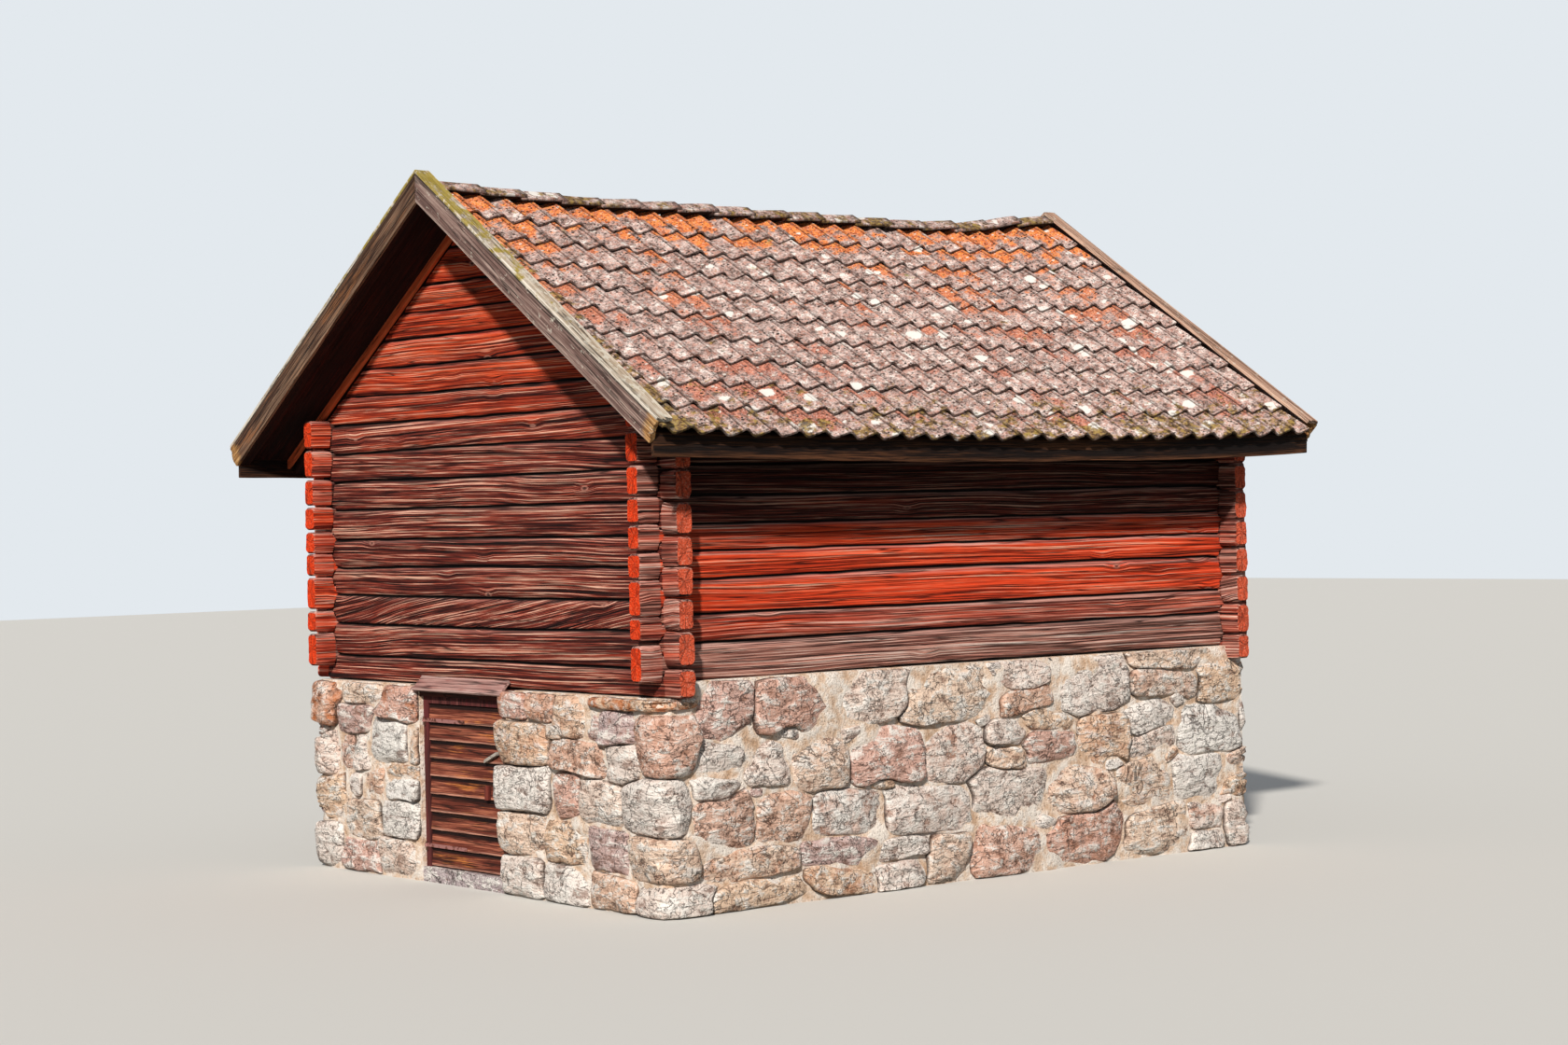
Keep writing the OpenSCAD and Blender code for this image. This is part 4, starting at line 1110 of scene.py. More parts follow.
# %% Sag of the roof
EAVE_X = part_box("tiles_right")[1][0]
SAG_PLACES = [-2.94, -2.4, -1.7, -0.9, 0.3, 1.5, 2.1, 2.6, 2.94]
RIDGE_SAG = [0.0, 0.045, 0.070, 0.082, 0.088, 0.095, 0.070, 0.015, 0.0]
EAVE_SAG = [0.0, 0.012, 0.026, 0.040, 0.045, 0.040, 0.028, 0.010, 0.0]


def sagged(points):
    """Lowers points of the roof as its rafters have sunk."""
    outward = np.clip(np.abs(points[:, 0]) / EAVE_X, 0, 1)
    drop = np.interp(points[:, 1], SAG_PLACES, RIDGE_SAG) * (1 - outward)
    drop = drop + np.interp(points[:, 1], SAG_PLACES, EAVE_SAG) * outward
    return points - xyz(0, 0, drop)


# %% [markdown]
# ## Bare and painted boards
# All the boards share one recipe: fibres and bands stretched along the grain, drying
# cracks, and then what the weather adds. Bargeboards have gone silver grey, their caps
# carry pale lichen and moss, and sheltered boards keep a dark red wash. Boards that are
# built here carry their own grain coordinates; solids that stay read Object coordinates,
# turned so that the grain runs along them. Across the grain the bands are 45 mm wide,
# the fibres 8 mm and the hairs 2.4 mm.

# %% Board finish
def board_finish(name, dark, middle, light, wash=None, washed=0.0, lichen=0.0, moss=0.0, turn=None,
                 depth_mm=3.0, lap=None, joint=False):
    """Weathered wood in three tones. wash is the colour of its paint and washed how much of it
    is left. The colour for lapped boards is a painted highlight on each lip, and with it comes
    painted shade under the board above. The last flag is for bargeboards that rot at the foot
    and get painted shade along their upper edge, under the cap. turn lays the grain along a solid that stays."""
    material, tree, shader = new_material(name)
    if turn is None:
        grain = add(tree, "ShaderNodeAttribute", get="Vector", attribute_name="grain")
    else:
        place = add(tree, "ShaderNodeTexCoord", get="Object")
        grain = add(tree, "ShaderNodeMapping", {"Vector": place, "Rotation": turn})
    bands = speckle(tree, grain, (0.9, 22, 14), 4, 0.6)
    fibres = speckle(tree, grain, (3.0, 120, 60), 4, 0.65, 0.3)
    hairs = speckle(tree, grain, (7, 420, 200), 2, 0.6)
    patches = speckle(tree, grain, (1.8, 7, 6), 4, 0.6)
    crack = line_of(tree, speckle(tree, grain, (0.8, 26, 12), 3, 0.5, 0.2), 0.030 if depth_mm > 4 else 0.014)
    colour = add(tree, "ShaderNodeValToRGB", weighted(tree, (bands, 0.5), (fibres, 0.5)),
                 stops=[(0.32, dark), (0.5, middle), (0.68, light)])
    if wash:
        left = weighted(tree, (patches, 1), (fibres, 0.8))
        colour = coat(tree, colour, wash, left, 1.02 - washed * 0.45, 1.18 - washed * 0.45, 0.9)
    shade = add(tree, "ShaderNodeMapRange", hairs, 0.3, 0.7, 0.85, 1.1)
    shade = add(tree, "ShaderNodeCombineColor", shade, shade, shade)
    colour = add(tree, "ShaderNodeMix", {0: 1.0, 6: colour, 7: shade}, get=2, data_type="RGBA",
                 blend_type="MULTIPLY")
    colour = coat(tree, colour, "#1c1310", crack, cover=0.85)
    # Painted highlight with wear: each board is lighter along its edges, where light catches the worn arris
    edge = carried(tree, "edge")[0]
    rubbed_and_lit = add(tree, "ShaderNodeMapRange", fibres, 0.38, 0.56, 0.1, 0.75)
    colour = coat(tree, colour, light, both(tree, edge, rubbed_and_lit))
    if lap:
        level = carried(tree, "level")[0]
        # Painted highlight on each board's lower lip, where it catches the light
        lip = both(tree, add(tree, "ShaderNodeMapRange", level, 0.16, 0.04),
                   add(tree, "ShaderNodeMapRange", fibres, 0.40, 0.55, 0.2, 0.9))
        colour = coat(tree, colour, lap, lip)
        # Painted shade at the top of each board, under the lap of the board above
        colour = coat(tree, colour, "#0b0404", level, 0.72, 0.84, 0.95)
    if joint:
        upper, foot = carried(tree, "upper", "foot")
        # Painted shade along the bargeboard's upper edge, under its cap
        colour = coat(tree, colour, "#120b09", upper, cover=0.9)
        rotten = add(tree, "ShaderNodeValToRGB", fibres,
                     stops=[(0.4, "#6a4020"), (0.5, "#c08a50"), (0.6, "#dcb27a")])
        colour = coat(tree, colour, rotten, weighted(tree, (foot, 1), (patches, 1)), 0.85, 1.10, 0.9)
    if lichen:
        spots = speckle(tree, grain, (18, 26, 26), 5, 0.7)
        colour = coat(tree, colour, "#d6cdbd", spots, 0.62 - lichen * 0.18, 0.68 - lichen * 0.18, 0.85)
    if moss:
        spot = add(tree, "ShaderNodeTexCoord", get="Object")
        above_ground = add(tree, "ShaderNodeSeparateXYZ", spot, get=2)
        high_up = add(tree, "ShaderNodeMapRange", above_ground, 3.6, 4.7, 0.0, 0.22)
        mossy = weighted(tree, (speckle(tree, grain, (9, 14, 14), 5, 0.7), 1), (high_up, 1))
        colour = coat(tree, colour, "#a28c32", mossy, 0.66 - moss * 0.2, 0.74 - moss * 0.2, 0.9)
    height = weighted(tree, (fibres, 1), (hairs, 0.3), (crack, -0.9))
    finish(tree, shader, colour, 0.85, height, depth_mm, 0.2)
    return material


BARGE_GREY = board_finish("weathered_pine_barge", "#3a2926", "#84675f", "#d6bcae", lichen=0.08,
                          depth_mm=6.0, joint=True)
BARGE_BROWN = board_finish("sooty_pine_barge", "#1e100b", "#543a2c", "#b08e74", "#9a6540", 0.15,
                           depth_mm=6.0, joint=True)
CAP_GREY = board_finish("weathered_pine_cap", "#56422f", "#b8a38c", "#f4eadb", lichen=0.6, moss=0.2,
                        depth_mm=6.0)
CAP_BARE = board_finish("bare_pine_cap", "#7a5544", "#b98f78", "#dcbba4", lichen=0.1, depth_mm=6.0)
# The eave board's near-black tones are painted shade, where the tiles overhang it
EAVE_BROWN_SHADED = board_finish("eave_board_in_painted_shade", "#080302", "#170a06", "#73492f", depth_mm=6.0)
# The near-black tones of roof boards and rafters are painted shade under the roof
SOFFIT_RED = board_finish("dark_red_roof_boards", "#120807", "#28120f", "#40201a", "#471a14", 0.2)
# The lath lies in the roof's shade; its bright tones are painted sunlight
TRIM_RED_PAINTED_SUN = board_finish("red_lath_with_painted_sun", "#c4401e", "#ea5c30", "#f6804e", "#f0683a", 0.6)
DRIP_GREY = board_finish("weathered_drip_board", "#6b4642", "#b58a82", "#dcbcb2", "#9a5850", 0.2,
                         depth_mm=6.0)
# The orange wash is a painted highlight for glints of sun on the door boards
DOOR_WOOD = board_finish("weathered_door_boards", "#120705", "#743628", "#e6906f", "#e68e44", 0.10,
                         depth_mm=6.0, lap="#e2a68f")

# %% [markdown]
# A board is a lofted bar. Its flat faces have points enough to warp a little, its edges
# are worn round by 3 mm and wander by 2 mm, and its ends can be cut on a slant or left
# torn where water has stood in the end grain.

# %% One board
BOARD_EDGE, END_RING = 0.003, 0.004
# A board can be torn and rotten this far from its end
TORN_FROM, ROTTEN_FROM = 0.06, 0.20


def board(origin, along, across, out, length, width, thick, seed, cuts=(0.0, 0.0), tips=(0.0, 0.0),
          wander=0.002, strips=3, torn=(0.0, 0.0), step=0.07, change=None):
    """A board that starts at origin, the middle of its end. along, across and out are its
    directions. cuts are the slants of its ends across its width, tips those through its
    thickness, and torn how far its ends are rotten away. change moves the points."""
    along, across, out = (np.array(v, float) for v in (along, across, out))
    w, t, e = width / 2, thick / 2, BOARD_EDGE
    flat = np.linspace(-w + e, w - e, strips + 1)
    section = np.array([(c, -t) for c in flat] + [(w, -t + e), (w, t - e)]
                       + [(c, t) for c in flat[::-1]] + [(-w, t - e), (-w, -t + e)])
    count = len(section)
    rows = max(int(length / step), 4) + 1
    inner = np.linspace(0, length, rows)[1:-1]
    places = np.concatenate([[0.0, END_RING], inner, [length - END_RING, length]])
    grid = np.array([(s, c, o) for s in places for c, o in section])
    share = grid[:, 0] / length
    s = grid[:, 0] + (cuts[0] * (1 - share) + cuts[1] * share) * grid[:, 1]
    s = s + (tips[0] * (1 - share) + tips[1] * share) * grid[:, 2]
    tooth = 0.5 + 0.5 * ripple(xyz(grid[:, 1] * 55, grid[:, 2] * 40, seed), 41)
    s = s + torn[0] * np.clip(1 - grid[:, 0] / TORN_FROM, 0, 1) * tooth
    s = s - torn[1] * np.clip(1 - (length - grid[:, 0]) / TORN_FROM, 0, 1) * tooth
    tip = np.where((grid[:, 0] < 0.001) | (grid[:, 0] > length - 0.001), BOARD_EDGE, 0.0)
    c = grid[:, 1] - np.sign(grid[:, 1]) * np.minimum(tip, np.abs(grid[:, 1]))
    o = grid[:, 2] - np.sign(grid[:, 2]) * tip * 0.6
    spot = xyz(grid[:, 0] * 2.2, grid[:, 1] * 12, seed * 1.7)
    c = c + wander * ripple(spot, seed) * np.clip(np.abs(c) / w, 0, 1) ** 2
    o = o + wander * 1.5 * ripple(spot * (0.4, 1, 1), seed + 1) * (1 if thick > 4 * wander else 0)
    points = np.array(origin, float) + s[:, None] * along + c[:, None] * across + o[:, None] * out
    grain = xyz(s + seed * 3.13, c + seed * 0.37, o)
    # Nearness to the long edges, where the finish paints a highlight
    edge = np.clip((np.abs(grid[:, 1]) - w + 2.5 * e) / (1.5 * e), 0, 1)
    # Nearness to the upper edge, where a bargeboard gets painted shade under its cap
    upper = np.clip((grid[:, 1] - w + 0.012) / 0.008, 0, 1)
    foot = np.clip(1 - (length - grid[:, 0]) / ROTTEN_FROM, 0, 1)
    total = len(places) * count
    faces = skin(len(places), count) + [tuple(range(count)), tuple(range(total - count, total))[::-1]]
    if change:
        points = change(points)
    return face_out([part(points, faces, grain=grain, edge=edge, upper=upper, foot=foot)])[0]


# %% [markdown]
# ## Clay pantiles
# One tile is a shallow S in section. Its high roll lies over the low edge of its
# neighbour, which gives the roof its sharp lines down the slope. Every tile has the same
# few faces, and Geometry Nodes set the whole slope: a grid of points with one tile on
# each, a slight random turn, and a random tone that is stored for the finish. On the
# clay lie clouds 77 mm wide, flecks of 33 mm and grit of 11 mm, and lichen in spots.

# %% Tile finish
def spots_of(tree, place, scale, size, low, high, pick=0):
    """Round spots. scale is cells in a metre, size the radius in cells, and low and high say
    how many cells have one. pick takes another choice of cells."""
    cells = add(tree, "ShaderNodeTexVoronoi", {"Vector": place, "Scale": scale}, get=None).outputs
    chosen = add(tree, "ShaderNodeSeparateColor", cells["Color"], get=pick)
    return both(tree, add(tree, "ShaderNodeMapRange", cells["Distance"], size * 0.7, size, 1.0, 0.0),
                add(tree, "ShaderNodeMapRange", chosen, low, high))


def clay_tile(name, lichen=0.0):
    """A grey skin of lichen over orange clay, with black, white and olive spots, moss, and dirt with painted
    shade.
    """
    material, tree, shader = new_material(name)
    place = add(tree, "ShaderNodeTexCoord", get="Object")
    tone, down, bare, dirt, moss = carried(tree, "tone", "down", "bare", "dirt", "moss")
    soft = speckle(tree, place, 6.0, 3, 0.6)
    cloud = speckle(tree, place, 13.0, 5, 0.75)
    flecks = speckle(tree, place, 30.0, 4, 0.74)
    grit = speckle(tree, place, 90.0, 3, 0.7)
    grey, fresh, aged, green = (add(tree, "ShaderNodeValToRGB", noise, stops=stops) for noise, stops in (
        (cloud, [(0.37, "#604b43"), (0.44, "#9c827a"), (0.51, "#c1a79f"), (0.57, "#dbc4bb"),
                 (0.63, "#fbf0e8")]),
        (flecks, [(0.38, "#a44e26"), (0.47, "#dd7236"), (0.56, "#ef8c3e"), (0.70, "#f6a860")]),
        (flecks, [(0.38, "#8a5144"), (0.50, "#bb7059"), (0.62, "#d99078")]),
        (flecks, [(0.42, "#3c2c16"), (0.5, "#7a5a2c"), (0.58, "#a08844")])))
    grey = coat(tree, grey, "#c8846e", flecks, 0.52, 0.56, 0.5)
    grey = coat(tree, grey, "#4c3a33", flecks, 0.44, 0.40, 0.8)
    clay = coat(tree, fresh, aged, down, 0.15, 0.6)
    near_ridge = add(tree, "ShaderNodeMapRange", down, 0.04, 0.30, 0.34, 0.0)
    shown = weighted(tree, (tone, 0.62), (bare, 0.50), (soft, 1.2), (cloud, 1.1), (near_ridge, 1))
    colour = coat(tree, grey, clay, shown, 1.84 + lichen, 1.98 + lichen, 0.96)
    colour = coat(tree, colour, "#43312a", grit, 0.43, 0.37, 0.75)
    colour = coat(tree, colour, "#e6dad0", grit, 0.57, 0.64, 0.6)
    many = add(tree, "ShaderNodeMapRange", soft, 0.42, 0.50, 0.5, 1.0)
    black = strongest(tree, spots_of(tree, place, 38.0, 0.36, 0.56, 0.59),
                      weighted(tree, (spots_of(tree, place, 19.0, 0.24, 0.68, 0.71, 1), 0.95)))
    colour = coat(tree, colour, "#2c201a", both(tree, black, many))
    far = add(tree, "ShaderNodeSeparateXYZ", place, get=1)
    discs = add(tree, "ShaderNodeTexVoronoi", {"Vector": place, "Scale": 7.5}, get=None).outputs
    chance = add(tree, "ShaderNodeSeparateColor", discs["Color"], get=1)
    often = weighted(tree, (chance, 1), (far, 0.040), (down, 0.22))
    size = add(tree, "ShaderNodeMapRange", often, 0.70, 1.10, 0.0, 0.40)
    ragged = weighted(tree, (discs["Distance"], 1), (cloud, 0.75), (flecks, 0.35), (size, -1))
    white = both(tree, add(tree, "ShaderNodeMapRange", ragged, 0.56, 0.53),
                 add(tree, "ShaderNodeMath", size, 0.04, operation="GREATER_THAN"))
    colour = coat(tree, colour, "#eee8e0", white, cover=0.92)
    colour = coat(tree, colour, "#ddd5cb", spots_of(tree, place, 22.0, 0.30, 0.76, 0.80, 2), cover=0.8)
    colour = coat(tree, colour, "#98904e", speckle(tree, place, 5.0, 5, 0.72, 0.4), 0.66, 0.72, 0.75)
    mossy = weighted(tree, (speckle(tree, place, 9.0, 5, 0.72), 1), (moss, 1))
    colour = coat(tree, colour, green, mossy, 0.64, 0.71, 0.9)
    # Dirt and painted shade: undersides, feet and roll edges of the tiles are darkened
    colour = coat(tree, colour, "#1d120d", dirt, cover=0.93)
    height = weighted(tree, (cloud, 1), (flecks, 0.5), (grit, 0.35), (white, 0.06))
    finish(tree, shader, colour, 0.9, height, 10.0, 0.2)
    return material


TILE_CLAY = clay_tile("old_clay_pantile")

# %% [markdown]
# The tile's own mesh is built once. x runs down the slope, y across it and z out of it.

# %% One tile
tiles_low, tiles_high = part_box("tiles_right")
deck_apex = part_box("roof_boards_right")[1][2]
COURSES = len(solids("tiles_right"))
COVER_WIDTH = 0.208
TILE_COLUMNS = round((tiles_high[1] - tiles_low[1]) / COVER_WIDTH)
TILE_COVER = (tiles_high[1] - tiles_low[1]) / TILE_COLUMNS
TILE_THICK, TILE_WAVE, TILE_LAP, FIRST_COURSE, SEAT = 0.014, 0.045, 0.060, 0.020, 0.0003
# Height over the boards of the tile's edge at the eave, where it reaches furthest out
EDGE_HIGH = 0.038
foot = (EAVE_X - EDGE_HIGH * math.sin(ROOF_PITCH)) / math.cos(ROOF_PITCH)
GAUGE = (foot - TILE_LAP - FIRST_COURSE) / COURSES
ROLL_PROFILE = [(-0.09, 0.86), (-0.03, 0.97), (0.04, 0.98), (0.10, 0.87), (0.17, 0.62), (0.25, 0.31),
                (0.33, 0.09), (0.42, 0.0), (0.53, 0.09), (0.66, 0.32), (0.79, 0.58), (0.91, 0.79)]
TILE_SHARES = (0.0, 0.55, 0.985, 1.0)
# How far a foot stands off the course below: old tiles never quite lie down
FOOT_GAP = 0.010
TILE_TILT = math.atan((TILE_THICK + FOOT_GAP) / GAUGE)
TILE_BOW = 0.003
print(COURSES, "courses of", TILE_COLUMNS, "tiles on each slope, gauge", round(GAUGE, 3))


def tile_mesh():
    """The S-shaped tile with a slightly bent foot."""
    length = GAUGE + TILE_LAP
    rings = []
    for share in TILE_SHARES:
        bow = TILE_BOW * math.sin(math.pi * share)
        top = [(length * share, y * TILE_COVER, TILE_THICK + h * TILE_WAVE + bow) for y, h in ROLL_PROFILE]
        low = [(x, y, z - TILE_THICK) for x, y, z in reversed(top)]
        rings += top + low
    half = len(ROLL_PROFILE)
    count = 2 * half
    faces = skin(len(TILE_SHARES), count)
    for ring, turned in ((0, False), (len(TILE_SHARES) - 1, True)):
        base = ring * count
        for k in range(half - 1):
            quad = (base + k, base + k + 1, base + count - 2 - k, base + count - 1 - k)
            faces.append(quad[::-1] if turned else quad)
    mesh = bpy.data.meshes.new("one_tile")
    mesh.from_pydata(rings, [], [f[::-1] for f in faces])
    return mesh


# %% [markdown]
# The tree takes the tile as its input geometry. Courses run down the slope and columns
# across it. Each instance is turned and shifted by a few millimetres, its tone is
# stored, and the instances are made real for the export.

# %% Tree that sets the tiles on a slope
LAYING_INPUTS = [("Rows", "Int", 2), ("Columns", "Int", 2), ("Row step", "Float", 0.3),
                 ("Column step", "Float", 0.2), ("Tilt", "Float", 0.0), ("Turn", "Float", 0.01),
                 ("Shift", "Float", 0.003), ("Seed", "Int", 1)]


def lay_tree(name, material):
    """A geometry tree that lays its mesh in rows and columns, and the tree's inputs."""
    tree = bpy.data.node_groups.new(name, "GeometryNodeTree")
    tree.interface.new_socket("Geometry", in_out="INPUT", socket_type="NodeSocketGeometry")
    inputs = {}
    for title, kind, value in LAYING_INPUTS:
        inputs[title] = tree.interface.new_socket(title, in_out="INPUT", socket_type="NodeSocket" + kind)
        inputs[title].default_value = value
    tree.interface.new_socket("Geometry", in_out="OUTPUT", socket_type="NodeSocketGeometry")
    given = add(tree, "NodeGroupInput", get=None).outputs
    rows_long, columns_long = (
        both(tree, add(tree, "ShaderNodeMath", given[count], 1.0, operation="SUBTRACT"), given[step])
        for count, step in (("Rows", "Row step"), ("Columns", "Column step")))
    grid = add(tree, "GeometryNodeMeshGrid", {"Size X": rows_long, "Size Y": columns_long,
                                              "Vertices X": given["Rows"], "Vertices Y": given["Columns"]})
    corner = add(tree, "ShaderNodeCombineXYZ", weighted(tree, (rows_long, 0.5)),
                 weighted(tree, (columns_long, 0.5)))
    grid = add(tree, "GeometryNodeTransform", {"Geometry": grid, "Translation": corner})
    turn = add(tree, "FunctionNodeRandomValue", {0: (-1, -1, -1), 1: (1, 1, 1), "Seed": given["Seed"]},
               data_type="FLOAT_VECTOR")
    turn = add(tree, "ShaderNodeVectorMath", {0: turn, 3: given["Turn"]}, operation="SCALE")
    tilt = add(tree, "ShaderNodeCombineXYZ", {1: weighted(tree, (given["Tilt"], -1.0))})
    turn = add(tree, "ShaderNodeVectorMath", turn, tilt, operation="ADD")
    placed = add(tree, "GeometryNodeInstanceOnPoints", {"Points": grid, "Instance": given["Geometry"],
                                                        "Rotation": turn})
    shift_seed = add(tree, "ShaderNodeMath", given["Seed"], 7.0, operation="ADD")
    shift = add(tree, "FunctionNodeRandomValue", {0: (-1, -1, 0), 1: (1, 1, 0.6), "Seed": shift_seed},
                data_type="FLOAT_VECTOR")
    shift = add(tree, "ShaderNodeVectorMath", {0: shift, 3: given["Shift"]}, operation="SCALE")
    moved = add(tree, "GeometryNodeTranslateInstances", {"Instances": placed, "Translation": shift})
    tone_seed = add(tree, "ShaderNodeMath", given["Seed"], 13.0, operation="ADD")
    tone = add(tree, "FunctionNodeRandomValue", {"Seed": tone_seed}, get=1, data_type="FLOAT")
    stored = add(tree, "GeometryNodeStoreNamedAttribute", {"Geometry": moved, "Name": "tone", "Value": tone},
                 data_type="FLOAT", domain="INSTANCE")
    real = add(tree, "GeometryNodeRealizeInstances", {"Geometry": stored})
    painted = add(tree, "GeometryNodeSetMaterial", {"Geometry": real, "Material": material})
    add(tree, "NodeGroupOutput", painted, get=None)
    return tree, inputs


def laid_out(mesh, tree, inputs, **values):
    """Runs the tree on a mesh and returns points, faces and tones of the plain result."""
    source = bpy.data.objects.new("laying", mesh)
    scene.collection.objects.link(source)
    modifier = source.modifiers.new("lay", "NODES")
    modifier.node_group = tree
    for title, value in values.items():
        modifier[inputs[title.replace("_", " ")].identifier] = value
    graph = bpy.context.evaluated_depsgraph_get()
    result = bpy.data.meshes.new_from_object(source.evaluated_get(graph))
    points = np.empty(len(result.vertices) * 3, np.float32)
    result.vertices.foreach_get("co", points)
    tones = np.empty(len(result.vertices), np.float32)
    result.attributes["tone"].data.foreach_get("value", tones)
    faces = [tuple(p.vertices) for p in result.polygons]
    source.modifiers.remove(modifier)
    bpy.data.objects.remove(source)
    return points.reshape(-1, 3).astype(float), faces, tones


def on_slope(points, side):
    """Slope coordinates (down, along the ridge, out) to the building; side is 1 or -1."""
    x = points[:, 0] * math.cos(ROOF_PITCH) + points[:, 2] * math.sin(ROOF_PITCH)
    z = deck_apex - points[:, 0] * math.sin(ROOF_PITCH) + points[:, 2] * math.cos(ROOF_PITCH)
    return xyz(side * x, points[:, 1], z)


def tile_places(count):
    """For each of count laid points: how far down its tile it is, how high on the roll, and
    whether it is on the underside. The tree repeats the tile's points in their own order."""
    half = len(ROLL_PROFILE)
    roll = np.array([h for _, h in ROLL_PROFILE])
    share = np.repeat(TILE_SHARES, 2 * half)
    roll = np.tile(np.concatenate([roll, roll[::-1]]), len(TILE_SHARES))
    under = np.tile(np.repeat([0.0, 1.0], half), len(TILE_SHARES))
    return (np.tile(values, count // len(share)) for values in (share, roll, under))


# %% [markdown]
# Both slopes are laid by the same tree. Bare clay shows high on the rolls and where the
# tile above drips, and moss grows at the eave and on the front verge. Undersides, feet and
# roll edges are darkened with dirt and with painted shade, where the tiles shade each other.

# %% Tiles on both slopes
# The first tile starts this far down, and the grid this far inside the verge
GRID_START, GRID_SIDE = FIRST_COURSE - 0.010, 0.016
TILE_TURN, TILE_SHIFT, FOOT_ROUGH = 0.011, 0.004, 0.005
VERGE_MOSS, EAVE_MOSS = 0.24, 0.18

tile_tree, tile_inputs = lay_tree("lay_pantiles", TILE_CLAY)
for side, name, seed in ((1, "tiles_right", 3), (-1, "tiles_left", 11)):
    points, faces, tones = laid_out(tile_mesh(), tile_tree, tile_inputs, Rows=COURSES, Columns=TILE_COLUMNS,
                                    Row_step=GAUGE, Column_step=TILE_COVER, Tilt=TILE_TILT, Turn=TILE_TURN,
                                    Shift=TILE_SHIFT, Seed=seed)
    points = points + [GRID_START, tiles_low[1] + GRID_SIDE, SEAT]
    down = points[:, 0] / foot
    streak = ripple(xyz(np.floor(points[:, 1] / TILE_COVER) * 0.73, points[:, 0] * 0.8, seed), 31)
    tones = np.clip(tones * 0.7 + 0.15 + 0.45 * streak, 0, 1)
    tile_share, tile_roll, tile_under = tile_places(len(points))
    ragged = ripple(xyz(points[:, 1] * 30, points[:, 0] * 3, seed), 37)
    points[:, 0] += (tile_share == 1.0) * FOOT_ROUGH * ragged
    bare = np.clip((0.85 - tile_share) / 0.5, 0, 1) * (0.55 + 0.45 * tile_roll)
    seam_side = np.tile(np.arange(2 * len(ROLL_PROFILE)) == 0, len(points) // (2 * len(ROLL_PROFILE)))
    # Dirt and painted shade on the underside, the foot and the edge of the roll, where the tiles shade each
    # other
    dirt = np.maximum(0.8 * tile_under, np.where(tile_share == 1.0, 0.6, 0.6 * seam_side))
    verge = np.clip(1.2 - (points[:, 1] - tiles_low[1]) / 0.30, 0, 1) * VERGE_MOSS
    moss = np.clip((down - 0.72) / 0.28, 0, 1) * EAVE_MOSS + verge * (down > 0.25)
    if side < 0:
        faces = [f[::-1] for f in faces]
    shaped = part(sagged(on_slope(points, side)), faces, tone=tones, down=down, moss=moss, bare=bare,
                  dirt=dirt)
    piece(name + "_laid", [shaped], [TILE_CLAY], BUILDING, "clay_tile", [name], crease=35)

# %% [markdown]
# ## Roof woodwork
# Boards on the slope are given by how far down the slope they run, and by their depths
# under the top of the barge caps. Both are read from the boxes of the solids.

# %% Layers of the roof
COS, SIN, TAN = math.cos(ROOF_PITCH), math.sin(ROOF_PITCH), math.tan(ROOF_PITCH)
cap_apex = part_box("front_barge_caps")[1][2]
TRIM_GAP = 0.0003


def plumb_layer(node):
    """Foot, upper depth and lower depth of a node whose boards are cut plumb at the foot."""
    low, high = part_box(node)
    return high[0], (cap_apex - high[2]) * COS, (cap_apex - high[0] * TAN - low[2]) * COS


def square_layer(node):
    """The same for boards that are cut square. The foot is a length down the slope."""
    low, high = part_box(node)
    top = (cap_apex - high[2]) * COS
    foot = (high[0] + top * SIN) / COS
    return foot, top, (cap_apex - low[2] - foot * SIN) / COS


def slope_board(side, foot, top, bottom, y0, y1, seed, plumb=True, **shape):
    """A board down one slope from the ridge to its foot, between two places along it."""
    middle = (top + bottom) / 2
    start = middle * TAN + TRIM_GAP
    end = (foot + middle * SIN) / COS if plumb else foot
    origin = (side * (start * COS - middle * SIN), (y0 + y1) / 2, cap_apex - start * SIN - middle * COS)
    down, up, forward = (side * COS, 0, -SIN), (side * SIN, 0, COS), (0, -1, 0)
    slants = (-TAN, -TAN if plumb else 0.0)
    wide, deep = y1 - y0, bottom - top
    if wide > deep:
        return board(origin, down, forward, up, end - start, wide, deep, seed, tips=slants, **shape)
    return board(origin, down, up, forward, end - start, deep, wide, seed, cuts=slants, **shape)


def both_slopes(node, seed, change=sagged, **shape):
    """Boards in place of a node that has one on each slope."""
    foot, top, bottom = plumb_layer(node)
    y0, y1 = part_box(node)[0][1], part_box(node)[1][1]
    return [slope_board(side, foot, top, bottom, y0, y1, seed + side, change=change, **shape)
            for side in (1, -1)]


# %% [markdown]
# The bargeboards and their caps take all the weather. They are silver grey, their feet
# have rotted to a torn orange-brown end, and moss sits at the apex of the cap.

# %% Bargeboards and caps
def barge(name, node, seed, materials, slot, strips, wander):
    """The boards of both slopes. materials are the finishes of the right and the left one."""
    foot, top, bottom = square_layer(node)
    y0, y1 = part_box(node)[0][1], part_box(node)[1][1]
    right, left = (slope_board(side, foot, top, bottom, y0, y1, seed + side, plumb=False, strips=strips,
                               wander=wander, torn=(0.0, 0.045)) for side in (1, -1))
    left["finishes"] = [1] * len(left["faces"])
    piece(name, [right, left], materials, BUILDING, slot, [node])


for place, seed in (("front", 51), ("back", 61)):
    barge(place + "_barges", place + "_bargeboards", seed, [BARGE_GREY, BARGE_BROWN], "grey_barge", 8, 0.002)
for place, seed, wood in (("front", 55, CAP_GREY), ("back", 65, CAP_BARE)):
    barge(place + "_caps", place + "_barge_caps", seed, [wood, wood], "grey_cap", 6, 0.003)

# %% [markdown]
# Under the verges and eaves a dark red wash has stayed, darkened to near black as painted
# shade. The rafters show only as short tails under the eaves. Their boards, like the roof
# boards, hang with the roof's sag.

